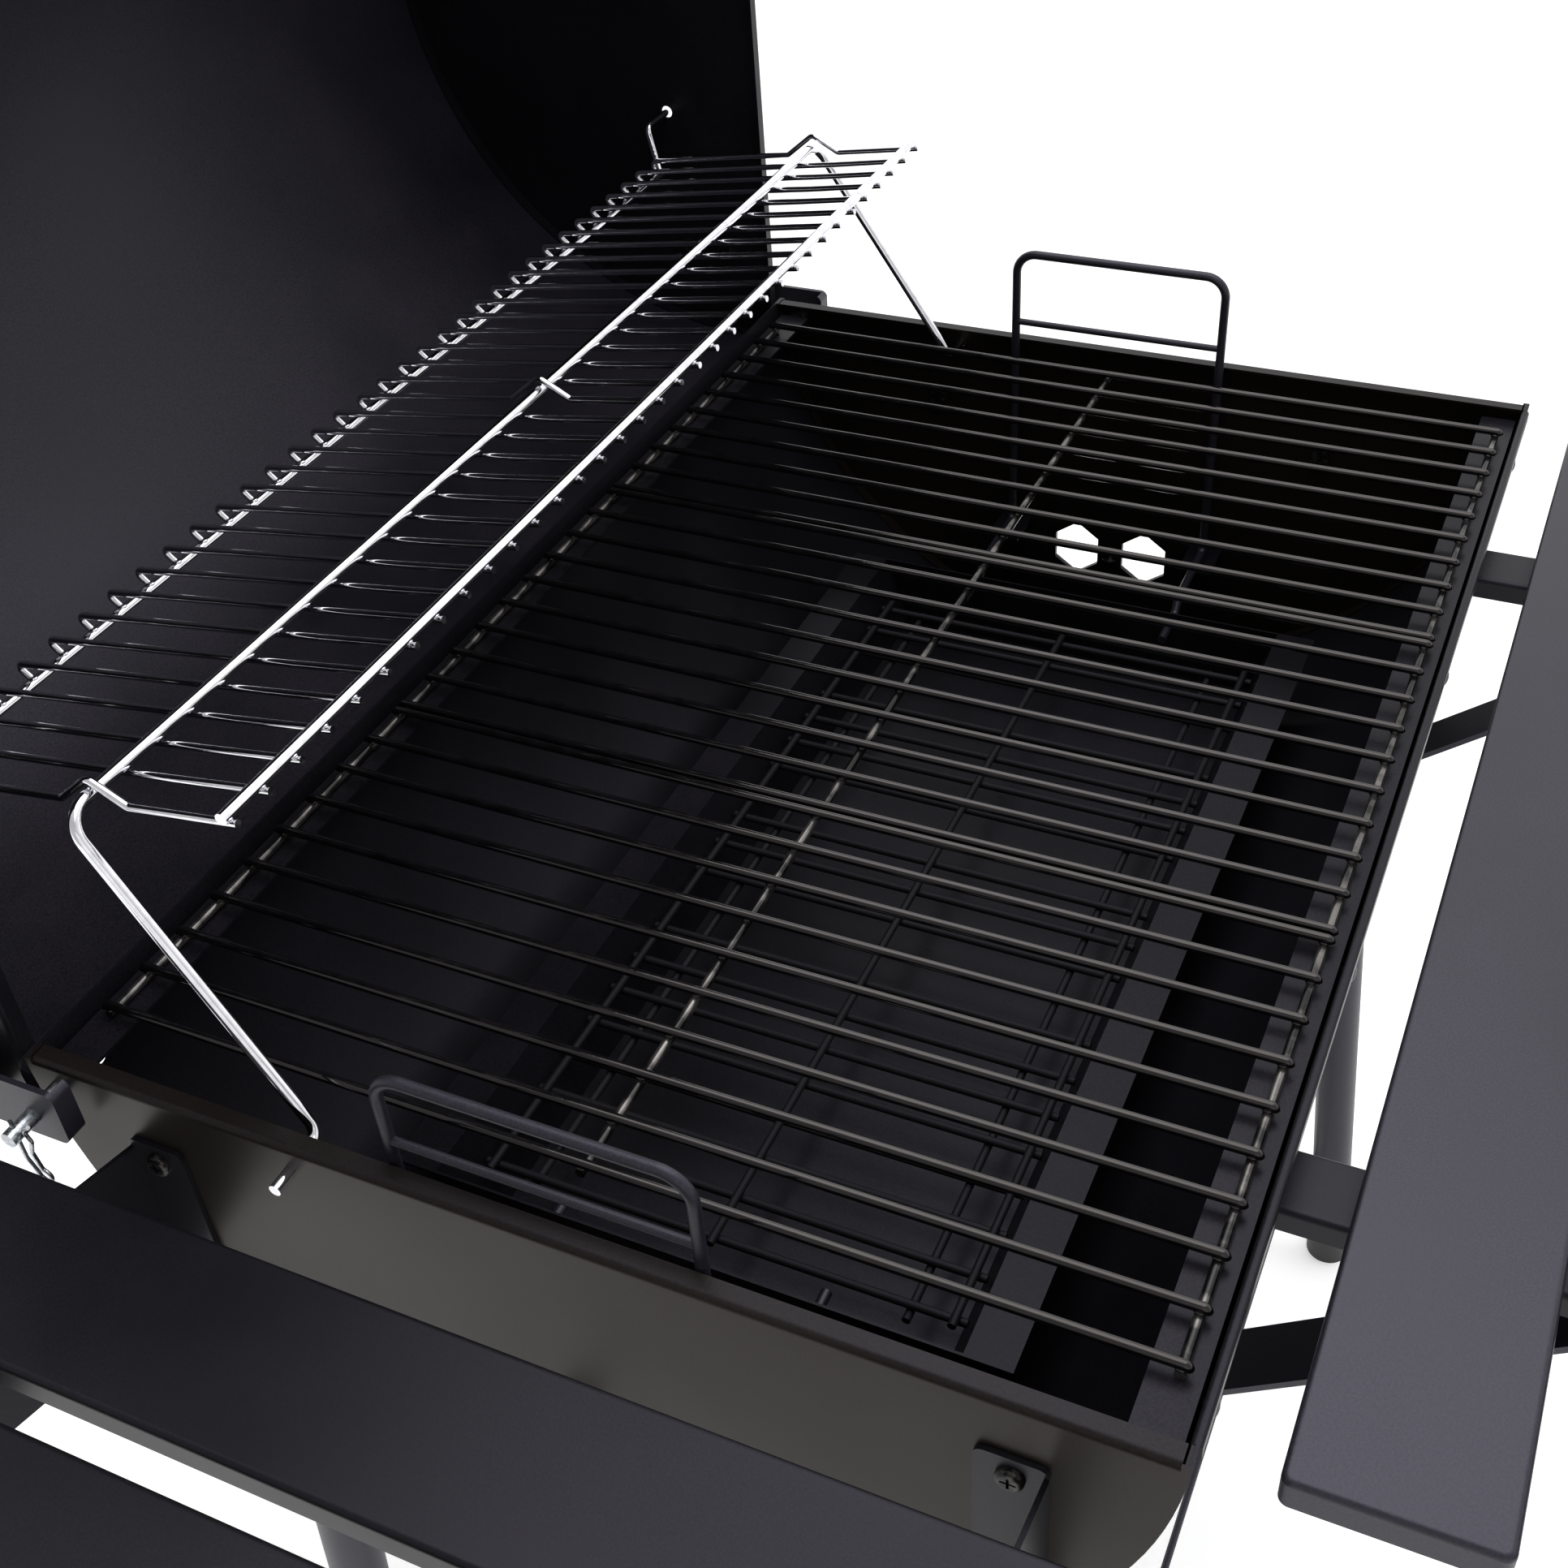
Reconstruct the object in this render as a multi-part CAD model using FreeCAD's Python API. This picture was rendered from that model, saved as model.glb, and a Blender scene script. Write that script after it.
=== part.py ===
"""Barrel charcoal grill with a hinged lid, shelves, a lifting charcoal tray and a two-wheel stand.

Everything is designed about the middle of the barrel's rim plane: X runs along the barrel, Y from the
front shelf to the back, Z up, with Z = 0 at the rim. The finished nodes are then moved so that the
origin is the middle of the whole grill's base on the floor, with the lid open, and written as STEP.
"""
import FreeCAD, Part
import math
import os

V = FreeCAD.Vector
AXIS_X = V(1, 0, 0)
AXIS_Y = V(0, 1, 0)
AXIS_Z = V(0, 0, 1)

# Barrel and lid, in millimetres
barrel_length = 700.0
barrel_width = 457.0
centre_above_rim = 17.0
sheet = 1.2
half_length = barrel_length / 2
half_width = barrel_width / 2
radius = math.hypot(half_width, centre_above_rim)
panel_inside = half_length - sheet
flange_depth = 8.5
lid_gap = 2.0
hem_height = 8.0
hem_sheet = 4.0
hem_round = 1.8
hem_end = half_length - flange_depth - 0.3
rim_bend = 3.0
bend_reach = 225.2
fit_gap = 0.05

# Lid hinge: the axis lies along X
hinge_y = 216.0
hinge_z = -13.0
hinge_pin_radius = 3.5
lid_corner_relief = 18.6
ear_gap = 11.5
ear_sheet = 2.5

# Warming rack and its swinging support
crank_foot_y = 106.0
support_y = 187.0
support_z = 113.0
support_radius = 2.5
support_top_x = 325.0
support_foot_x = 331.0
rack_mid_x = 6.0
rack_half = 316.0
rack_wires = 35
rack_wire_radius = 1.6
rack_front_y = 125.0
rack_front_z = 121.0
rack_rear_y = 291.0
rack_rear_z = 84.0
hook_y = support_y + hinge_y - crank_foot_y
hook_z = support_z

# Cooking grates
grate_wires = 10
grate_pitch = 22.9
grate_spacing = 211.6
grate_wire_radius = 2.0
grate_half_width = 220.0
grate_end_rod_y = 217.0
grate_z = -1.0
grate_rod_drop = 3.6
ledge_width = 18.0
ledge_top = grate_z - grate_rod_drop - grate_wire_radius - 0.1

# Charcoal tray
tray_half = 262.0
tray_flange_mid = 133.0
tray_flange_width = 21.0
tray_top = -121.0
tray_depth = 44.0
handle_x = 337.6
handle_mid_y = 4.0
handle_half = 62.0
handle_ys = (handle_mid_y - handle_half, handle_mid_y + handle_half)
handle_grip_z = {"left": 43.0, "right": 56.0}
handle_bar_z = {"left": 9.0, "right": 13.0}
handle_wire = 2.5
rest_rivet_z = -133.0

# Dampers
damper_y = 4.0
damper_z = -145.0
damper_radius = 43.0
window_mid = 22.0
window_half_width = 14.0
window_shoulder = 9.0
window_half_height = 19.0

# Legs, wheels and lower rack
floor_z = -736.0
leg_x = 330.0
leg_top_y = 158.0
leg_top_z = -145.0
leg_foot_y = 209.5
leg_radius = 14.0
leg_wall = 1.5
wheel_radius = 76.0
wheel_width = 38.0
axle_radius = 5.0
axle_z = floor_z + wheel_radius
rack_rod_radius = 2.5
rack_level = axle_z + axle_radius + rack_rod_radius
rack_bar_radius = 9.0
lower_rack_half = 338.0
lower_rack_depth = 172.0
lower_rack_wires = 11
foot_wall = 1.8
rail_z = -195.0
rail_radius = 9.5

# Shelves
slat_width = 69.0
slat_gap = 15.5
slat_drop = 13.0
slat_top = -8.0
front_slat_start = 252.5
front_slat_half = 338.0
side_slat_start = 388.0
side_slat_half = 235.0
arm_x = 213.0
arm_width = 30.0
arm_height = 11.0
strut_sheet = 3.0
strut_y = -348.0
bracket_y = 172.5
bracket_width = 26.0

# Bolts and rivets
ear_bolt_y = 175.0
ear_bolt_zs = (34.0, 64.0)
ledge_rivet_xs = (-314, -105, 105, 314)
ledge_rivet_z = -19.0
bracket_screw_zs = (-36.0, -96.0)
carry_bolt_y = 120.0
carry_z = -52.0

nodes = {}
rivets = []
lid_bolts = []
panel_screws = []


def block(low, high):
    """A box between two opposite corners."""
    size = [b - a for a, b in zip(low, high)]
    return Part.makeBox(size[0], size[1], size[2], V(*low))


def rod(start, end, r):
    """A round bar between two points."""
    start = V(*start)
    along = V(*end) - start
    return Part.makeCylinder(r, along.Length, start, along)


def fuse(shapes):
    """One solid from touching shapes."""
    return shapes[0].multiFuse(shapes[1:]).removeSplitter()


def tube(start, end, r, wall):
    """A round tube between two points."""
    return rod(start, end, r).cut(rod(start, end, r - wall))


def mirrored_x(shape):
    """The same piece for the other end of the barrel."""
    return shape.mirror(V(0, 0, 0), AXIS_X)


def mirrored_y(shape):
    """The same piece for the other side of the barrel."""
    return shape.mirror(V(0, 0, 0), AXIS_Y)


def bent_rod(points, r, bends):
    """A round bar through the points; bends is the radius at every corner, or a list with one for each."""
    points = [V(*p) for p in points]
    if not isinstance(bends, list):
        bends = [bends] * (len(points) - 2)
    edges = []
    start = points[0]
    for before, corner, after, bend in zip(points, points[1:], points[2:], bends):
        into = (corner - before).normalize()
        out = (after - corner).normalize()
        half_turn = into.getAngle(out) / 2
        reach = bend * math.tan(half_turn)
        first = corner - into * reach
        last = corner + out * reach
        inward = (out - into).normalize()
        middle = corner + inward * (bend / math.cos(half_turn) - bend)
        edges.append(Part.LineSegment(start, first).toShape())
        edges.append(Part.Arc(first, middle, last).toShape())
        start = last
    edges.append(Part.LineSegment(start, points[-1]).toShape())
    direction = (points[1] - points[0]).normalize()
    section = Part.Wire([Part.makeCircle(r, points[0], direction)])
    return Part.Wire(edges).makePipeShell([section], True, False)


def disc(r, x0, x1):
    """A disc across the barrel, centred on its axis."""
    return rod((x0, 0, centre_above_rim), (x1, 0, centre_above_rim), r)


def ring(outer, inner, x0, x1):
    """A round wall about the barrel's axis."""
    return disc(outer, x0, x1).cut(disc(inner, x0 - 1, x1 + 1))


def below_rim():
    return block((-500, -300, -400), (500, 300, 0))


def above_gap():
    return block((-500, -300, lid_gap), (500, 300, 400))


def bent_edge(rim_z, side):
    """The panel's straight edge, bent inwards round a small radius; side is the way the panel lies."""
    x = -half_length
    inner = rim_bend - sheet
    slant = math.sqrt(0.5)
    middle = V(x + rim_bend, 0, rim_z + side * rim_bend)
    outer_arc = Part.Arc(V(x, 0, rim_z + side * rim_bend), middle - V(1, 0, side) * (rim_bend * slant),
                         V(x + rim_bend, 0, rim_z))
    inner_arc = Part.Arc(V(x + rim_bend, 0, rim_z + side * sheet), middle - V(1, 0, side) * (inner * slant),
                         V(x + sheet, 0, rim_z + side * rim_bend))
    lip = [V(x + rim_bend, 0, rim_z), V(x + flange_depth, 0, rim_z),
           V(x + flange_depth, 0, rim_z + side * sheet), V(x + rim_bend, 0, rim_z + side * sheet)]
    foot = [V(x + sheet, 0, rim_z + side * rim_bend), V(x, 0, rim_z + side * rim_bend)]
    edges = [outer_arc.toShape()] + [Part.LineSegment(a, b).toShape() for a, b in zip(lip, lip[1:])]
    edges += [inner_arc.toShape(), Part.LineSegment(*foot).toShape()]
    strip = Part.Face(Part.Wire(edges)).extrude(V(0, 2 * bend_reach, 0))
    strip.translate(V(0, -bend_reach, 0))
    return strip


def end_panel(half_space, rim_z, side):
    """The left end's pressed panel: a face, a flange inside the shell, and the bent straight edge."""
    flange = ring(radius - sheet - fit_gap, radius - 2 * sheet, -half_length, -half_length + flange_depth)
    panel = disc(radius, -half_length, -panel_inside).fuse(flange).common(half_space)
    low, high = sorted((rim_z - side, rim_z + side * rim_bend))
    panel = panel.cut(block((-half_length - 1, -bend_reach, low), (-panel_inside + 0.2, bend_reach, high)))
    return panel.fuse(bent_edge(rim_z, side)).removeSplitter()


def drill(shape, point, axis, r, depth=40.0):
    """Cut a round hole centred on a point."""
    point = V(*point)
    return shape.cut(Part.makeCylinder(r, depth, point - axis * (depth / 2), axis))


def damper_windows(x0, x1):
    """The two openings side by side, each a hexagon pointed at the top and bottom."""
    wide, shoulder, tall = window_half_width, window_shoulder, window_half_height
    right = [(0, tall), (wide, shoulder), (wide, -shoulder)]
    outline = right + [(-y, -z) for y, z in right]
    shapes = []
    for side in (-1, 1):
        points = [V(x0, damper_y + side * window_mid + y, damper_z + z) for y, z in outline]
        face = Part.Face(Part.makePolygon(points + points[:1]))
        shapes.append(face.extrude(V(x1 - x0, 0, 0)))
    return shapes


def hem(low, high):
    """The sheet folded over along the front edge, with its long edges rounded."""
    outer = -half_width - 1.0
    folded = block((-hem_end, outer, low), (hem_end, outer + hem_sheet, high))
    return folded.makeFillet(hem_round, [e for e in folded.Edges if e.BoundBox.XLength > 100])


def barrel():
    shell = ring(radius, radius - sheet, -panel_inside, panel_inside).common(below_rim())
    shell = fuse([shell, hem(-hem_height, 0)])
    shell = drill(shell, (-322, half_width - 2, -26), AXIS_Y, 4.0, 20)
    for x in ledge_rivet_xs:
        for y in (-half_width, half_width):
            shell = drill(shell, (x, y, ledge_rivet_z), AXIS_Y, 2.0, 20)
    nodes["barrel_shell"] = shell

    left = end_panel(below_rim(), 0.0, -1)
    left = drill(left, (-half_length, hinge_y, hinge_z), AXIS_X, hinge_pin_radius + fit_gap, 8)
    left = drill(left, (-half_length, crank_foot_y, hinge_z), AXIS_X, support_radius + fit_gap, 8)
    left = drill(left, (-half_length, damper_y, damper_z), AXIS_X, 3.0, 8)
    left = left.cut(Part.makeCompound(damper_windows(-half_length - 5, -half_length + 5)))
    right = mirrored_x(left)
    for y in (-bracket_y, bracket_y):
        for z in bracket_screw_zs:
            left = drill(left, (-half_length, y, z), AXIS_X, 2.5, 8)
    for y in handle_ys:
        left = drill(left, (-half_length, y, rest_rivet_z), AXIS_X, 2.0, 8)
        right = drill(right, (half_length, y, rest_rivet_z), AXIS_X, 2.0, 8)
    for y in (-carry_bolt_y, carry_bolt_y):
        right = drill(right, (half_length, y, carry_z), AXIS_X, 3.0, 8)
    nodes["end_panel_left"] = left
    nodes["end_panel_right"] = right


def grate_ledges():
    """Angles along the front and back walls that carry the cooking grates."""
    outer = 223.4
    seat = block((-hem_end, -outer, ledge_top - 1.5), (hem_end, -outer + ledge_width, ledge_top))
    leg = block((-hem_end, -outer, ledge_top - 16), (hem_end, -outer + 1.5, ledge_top - 1.5))
    ledge = fuse([seat, leg])
    wall_rivets = []
    z = ledge_rivet_z
    for x in ledge_rivet_xs:
        ledge = drill(ledge, (x, -outer, z), AXIS_Y, 2.0, 8)
        shank = rod((x, -outer - 4.2, z), (x, -outer + 1.6, z), 1.95)
        inner_head = rod((x, -outer + 1.5, z), (x, -outer + 3.1, z), 3.8)
        outer_head = rod((x, -outer - 5.8, z), (x, -outer - 4.1, z), 3.8)
        wall_rivets.append(fuse([shank, inner_head, outer_head]))
    nodes["grate_ledge_front"] = ledge
    nodes["grate_ledge_back"] = mirrored_y(ledge)
    rivets.extend(wall_rivets + [mirrored_y(r) for r in wall_rivets])


def tray_rests():
    """Small angles riveted inside the end panels; the tray's side wires sit on them."""
    rests = []
    top = tray_top - 2 * handle_wire - 0.5
    for y in handle_ys:
        seat = block((-panel_inside, y - 10, top - 1.5), (-318, y + 10, top))
        leg = block((-panel_inside, y - 10, top - 14), (-panel_inside + 1.5, y + 10, top - 1.5))
        rest = drill(fuse([seat, leg]), (-panel_inside, y, rest_rivet_z), AXIS_X, 2.0, 8)
        rests.append(rest)
    nodes["tray_rests"] = Part.makeCompound(rests + [mirrored_x(r) for r in rests])
    panel_rivets = []
    z = rest_rivet_z
    for y in handle_ys:
        shank = rod((-half_length - 0.1, y, z), (-panel_inside + 1.6, y, z), 1.95)
        outside = rod((-half_length - 1.6, y, z), (-half_length, y, z), 3.8)
        inside = rod((-panel_inside + 1.5, y, z), (-panel_inside + 3.1, y, z), 3.8)
        panel_rivets.append(fuse([shank, outside, inside]))
    rivets.extend(panel_rivets + [mirrored_x(r) for r in panel_rivets])


def opened(shape):
    """Swing a lid piece from closed to fully open."""
    turned = shape.copy()
    turned.rotate(V(0, hinge_y, hinge_z), AXIS_X, -90)
    return turned


def on_lid(shape, angle):
    """Move a piece built over the lid's top to an angle above the front horizontal."""
    turned = shape.copy()
    turned.rotate(V(0, 0, centre_above_rim), AXIS_X, 90 - angle)
    return turned


def lid():
    top = centre_above_rim + radius
    handle_angle = 24.0
    gauge_angle = 50.0
    shell = ring(radius, radius - sheet, -panel_inside, panel_inside).common(above_gap())
    shell = fuse([shell, hem(lid_gap, lid_gap + hem_height)])
    gauge_hole = on_lid(rod((0, 0, top - 20), (0, 0, top + 20), 6.1), gauge_angle)
    shell = shell.cut(gauge_hole)
    for x in (-150, 150):
        shell = shell.cut(on_lid(rod((x, 0, top - 20), (x, 0, top + 20), 3.05), handle_angle))
    nodes["lid_shell"] = opened(shell)

    left = end_panel(above_gap(), lid_gap, 1)
    start = (-half_length - 1, hinge_y, hinge_z)
    left = left.cut(rod(start, (-half_length + 10, hinge_y, hinge_z), lid_corner_relief))
    hook_closed_y = hinge_y - (hook_z - hinge_z)
    hook_closed_z = hinge_z + (hook_y - hinge_y)
    left = drill(left, (-half_length, hook_closed_y, hook_closed_z), AXIS_X, 3.6, 8)
    for z in ear_bolt_zs:
        left = drill(left, (-half_length, ear_bolt_y, z), AXIS_X, 3.0, 8)
    nodes["lid_end_left"] = opened(left)
    nodes["lid_end_right"] = opened(mirrored_x(left))

    grip = rod((-175, 0, top + 42), (175, 0, top + 42), 11)
    grip = grip.makeFillet(4, [e for e in grip.Edges if e.BoundBox.XLength < 0.01])
    posts = []
    for x in (-150, 150):
        grip = grip.cut(rod((x, 0, top + 25), (x, 0, top + 42), 3.05))
        post = rod((x, 0, top + 0.3), (x, 0, top + 31.6), 7).cut(rod((x, 0, top - 1), (x, 0, top + 34), 3.05))
        shank = rod((x, 0, top - 8), (x, 0, top + 41), 3.0)
        nut = rod((x, 0, top - 6), (x, 0, top - 1.6), 5.5)
        posts.append((post, fuse([shank, nut])))
    grip = grip.cut(Part.makeCompound([rod((x, 0, top + 25), (x, 0, top + 31.7), 7.05) for x in (-150, 150)]))
    nodes["lid_handle_grip"] = opened(on_lid(grip, handle_angle))
    nodes["lid_handle_posts"] = Part.makeCompound([opened(on_lid(p, handle_angle)) for p, b in posts])
    lid_bolts.extend([opened(on_lid(b, handle_angle)) for p, b in posts])

    case = rod((0, 0, top + 0.6), (0, 0, top + 16), 38)
    case = case.makeFillet(3, [e for e in case.Edges if e.BoundBox.ZMin > top + 15.9])
    case = case.cut(rod((0, 0, top + 9), (0, 0, top + 17), 34))
    case = case.cut(rod((0, 0, top), (0, 0, top + 10), 6.1))
    stem = fuse([rod((0, 0, top - 60), (0, 0, top + 8.9), 3.0), rod((0, 0, top - 9), (0, 0, top + 8.9), 6.0)])
    stem = fuse([stem, rod((0, 0, top - 9), (0, 0, top - 2.0), 10)])
    dial = rod((0, 0, top + 9.1), (0, 0, top + 10.1), 33.8)
    needle = fuse([rod((0, 0, top + 10.2), (0, 0, top + 11.6), 3.5),
                   block((-1.2, -6, top + 10.4), (1.2, 26, top + 11.0))])
    glass = rod((0, 0, top + 12.4), (0, 0, top + 14.4), 33.9)
    for name, shape in (("case", case), ("stem", stem), ("dial", dial), ("needle", needle), ("glass", glass)):
        nodes["thermometer_" + name] = opened(on_lid(shape, gauge_angle))


def lid_hinges():
    """An offset ear bolted to the lid's end, turning on a clevis pin held by a hairpin clip."""
    near = -half_length - 0.2
    far = -half_length - ear_gap
    front, step_y, back = 202.0, 250.0, 306.0
    low, high = -25.0, 2.0
    face = block((far - ear_sheet, front, low), (far, step_y, high))
    lip = block((far - ear_sheet, front, low), (far + 7, front + ear_sheet, high))
    step = block((far - ear_sheet, step_y - ear_sheet, low), (near, step_y, high))
    foot = block((near - ear_sheet, step_y - ear_sheet, low), (near, back, high + 40))
    ear = fuse([face, lip, step, foot])
    corners = [e for e in ear.Edges if e.BoundBox.YLength < 0.01 and e.BoundBox.ZLength < 0.01
               and (e.BoundBox.YMin < front + 0.1 or e.BoundBox.YMin > back - 0.1)]
    ear = ear.makeFillet(4, corners)
    ear = drill(ear, (far, hinge_y, hinge_z), AXIS_X, hinge_pin_radius + 0.08, 8)
    bolts = []
    for closed_z in ear_bolt_zs:
        y = hinge_y + (closed_z - hinge_z)
        z = hinge_z - (ear_bolt_y - hinge_y)
        ear = drill(ear, (near, y, z), AXIS_X, 3.0, 8)
        shank = rod((near - ear_sheet - 0.1, y, z), (-panel_inside + 5, y, z), 2.95)
        head = rod((near - ear_sheet - 3.4, y, z), (near - ear_sheet, y, z), 5.5)
        nut = rod((-panel_inside + 0.1, y, z), (-panel_inside + 4.4, y, z), 5.2)
        bolts.append(fuse([shank, head, nut]))
    nodes["hinge_ear_left"] = ear
    nodes["hinge_ear_right"] = mirrored_x(ear)
    lid_bolts.extend(bolts + [mirrored_x(bolt) for bolt in bolts])

    tip = far - ear_sheet - 14
    pin = rod((-panel_inside, hinge_y, hinge_z), (tip, hinge_y, hinge_z), hinge_pin_radius)
    pin = fuse([pin, rod((-panel_inside, hinge_y, hinge_z), (-panel_inside + 3, hinge_y, hinge_z), 6)])
    clip_x = tip + 4
    pin = drill(pin, (clip_x, hinge_y, hinge_z), AXIS_Z, 1.1, 20)
    nodes["hinge_pins"] = Part.makeCompound([pin, mirrored_x(pin)])
    top, turn = hinge_z + 7, hinge_z - 25
    clip = bent_rod([(clip_x, hinge_y, top), (clip_x, hinge_y, turn), (clip_x, hinge_y - 9, turn),
                     (clip_x, hinge_y - 9, top - 2)], 0.9, 4.4)
    nodes["hairpin_clips"] = Part.makeCompound([clip, mirrored_x(clip)])


def warming_rack():
    """A chrome rack carried by a swinging bail, and hooked into the lid's ends."""
    tip = half_length + 9.5
    foot_x = support_foot_x
    top_x = support_top_x
    half = [(top_x, support_y, support_z), (foot_x, crank_foot_y, hinge_z), (tip, crank_foot_y, hinge_z)]
    path = [(-x, y, z) for x, y, z in reversed(half)] + half
    bail = bent_rod(path, support_radius, [7.0, 12.0, 12.0, 7.0])
    nodes["rack_support"] = bail

    wire_front_z = rack_front_z - support_radius - rack_wire_radius + 0.4
    wire_under_z = support_z - support_radius - rack_wire_radius - 0.6
    slope = (wire_front_z - wire_under_z) / (support_y - rack_front_y)
    end_y = rack_rear_y + 8
    front_z = wire_front_z + 3 * slope
    end_z = wire_front_z - slope * (end_y - rack_front_y)
    hump_z = support_z + support_radius + rack_wire_radius + 2.1
    near = rack_mid_x - rack_half - 2
    far = rack_mid_x + rack_half + 2
    parts = [rod((near, rack_front_y, rack_front_z), (far, rack_front_y, rack_front_z), support_radius),
             rod((near, rack_rear_y, rack_rear_z), (far, rack_rear_y, rack_rear_z), support_radius)]
    pitch = 2 * rack_half / (rack_wires - 1)
    for i in range(rack_wires):
        wire_x = rack_mid_x - rack_half + i * pitch
        front = (wire_x, rack_front_y - 3, front_z)
        back = (wire_x, end_y, end_z)
        foot = (wire_x, rack_rear_y - 1, rack_rear_z + 0.5)
        if i in (0, rack_wires // 2, rack_wires - 1):
            path = [front, (wire_x, support_y - 16, wire_under_z + 16 * slope), (wire_x, support_y, hump_z),
                    (wire_x, support_y + 16, wire_under_z - 16 * slope), back, foot]
            parts.append(bent_rod(path, rack_wire_radius, 3.0))
        else:
            parts.append(bent_rod([front, back, foot], rack_wire_radius, 2.4))
    for side in (-1, 1):
        reach = rack_mid_x + side * (rack_half + 1)
        out = side * (half_length + 7)
        hook = [(reach, rack_rear_y, rack_rear_z), (reach, hook_y, hook_z), (out, hook_y, hook_z)]
        parts.append(bent_rod(hook, 2.0, 4.0))
    nodes["warming_rack"] = fuse(parts)


def cooking_grate(x_mid):
    """One lift-out panel of ten wires over three cross rods."""
    parts = []
    first = x_mid - grate_pitch * (grate_wires - 1) / 2
    for i in range(grate_wires):
        x = first + i * grate_pitch
        parts.append(rod((x, -grate_half_width, grate_z), (x, grate_half_width, grate_z), grate_wire_radius))
    near = first - 2.2
    far = 2 * x_mid - near
    z = grate_z - grate_rod_drop
    for y in (-grate_end_rod_y, 2, grate_end_rod_y):
        parts.append(rod((near, y, z), (far, y, z), grate_wire_radius))
    return fuse(parts)


def tray_handle(side, grip_z, bar_z):
    """A wire from inside the tray's end, out over the rests, up past the rim and across as a grip."""
    seat = tray_top - handle_wire
    inner, outer = handle_ys
    low_end = [(tray_half - 14, seat - 8), (tray_half + 14, seat - 8), (tray_half + 22, seat),
               (handle_x, seat), (handle_x, grip_z)]
    path = [(side * x, inner, z) for x, z in low_end]
    path += [(side * x, outer, z) for x, z in reversed(low_end)]
    wire = bent_rod(path, handle_wire, [5.0, 5.0, 5.0, 12.0, 12.0, 5.0, 5.0, 5.0])
    bar = rod((side * handle_x, inner, bar_z), (side * handle_x, outer, bar_z), 1.9)
    return fuse([wire, bar])


def charcoal_tray():
    inner = tray_flange_mid - tray_flange_width / 2
    outer = tray_flange_mid + tray_flange_width / 2
    floor = tray_top - tray_depth
    pan_base = 108.0
    right = [(outer, tray_top - sheet), (inner + sheet, tray_top - sheet), (pan_base + sheet, floor - sheet)]
    above = [(pan_base, floor), (inner, tray_top), (outer, tray_top)]
    section = [(-y, z) for y, z in reversed(above)] + above + right + [(-y, z) for y, z in reversed(right)]
    points = [V(-tray_half, y, z) for y, z in section]
    pan = Part.Face(Part.makePolygon(points + points[:1])).extrude(V(2 * tray_half, 0, 0))
    end = [(-inner - 1, tray_top), (inner + 1, tray_top), (pan_base + 1, floor - sheet),
           (-pan_base - 1, floor - sheet)]
    ends = []
    for x in (-tray_half, tray_half - sheet):
        points = [V(x, y, z) for y, z in end]
        ends.append(Part.Face(Part.makePolygon(points + points[:1])).extrude(V(sheet, 0, 0)))
    pan = fuse([pan] + ends)
    wire_z = tray_top - handle_wire
    for y in handle_ys:
        pan = drill(pan, (-tray_half, y, wire_z - 8), AXIS_X, handle_wire + fit_gap, 20)
        pan = drill(pan, (tray_half, y, wire_z - 8), AXIS_X, handle_wire + fit_gap, 20)
    nodes["charcoal_tray"] = pan
    nodes["tray_handle_left"] = tray_handle(-1, handle_grip_z["left"], handle_bar_z["left"])
    nodes["tray_handle_right"] = tray_handle(1, handle_grip_z["right"], handle_bar_z["right"])

    rods = []
    wire_count = 21
    span = 470.0
    level = tray_top - 19
    for i in range(wire_count):
        x = -span / 2 + i * span / (wire_count - 1)
        rods.append(rod((x, -115, level), (x, 115, level), 2.0))
    reach = span / 2 + 6
    for y in (-90, 90):
        rods.append(rod((-reach, y, level - 3.4), (reach, y, level - 3.4), 2.0))
    for y in (-110, 0, 110):
        rods.append(rod((-reach, y, level + 3.4), (reach, y, level + 3.4), 2.0))
    nodes["charcoal_grate"] = fuse(rods)


def dampers():
    """A round shutter on each end panel, turning on a rivet."""
    near = -half_length - 0.4
    y, z = damper_y, damper_z
    shutter = rod((near - 1.5, y, z), (near, y, z), damper_radius)
    shutter = shutter.cut(Part.makeCompound(damper_windows(near - 5, near + 5)))
    tab = block((near - 14, y - 8, z + 34), (near - 1.4, y + 8, z + 35.5))
    tab = tab.makeFillet(3, [e for e in tab.Edges if e.BoundBox.ZLength > 1 and e.BoundBox.XMin < near - 13])
    shutter = fuse([shutter, tab])
    shutter = drill(shutter, (near, y, z), AXIS_X, 3.05, 8)
    rivet = rod((near - 1.8, y, z), (-panel_inside + 0.1, y, z), 2.98)
    rivet = fuse([rivet, rod((near - 3.8, y, z), (near - 1.8, y, z), 5.5),
                  rod((-panel_inside + 0.1, y, z), (-panel_inside + 1.8, y, z), 5.0)])
    nodes["damper_left"] = shutter
    nodes["damper_right"] = mirrored_x(shutter)
    rivets.extend([rivet, mirrored_x(rivet)])


def leg_line(z):
    """The front leg's Y at a height."""
    return -leg_top_y - (leg_top_z - z) * (leg_foot_y - leg_top_y) / (leg_top_z - floor_z)


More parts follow.
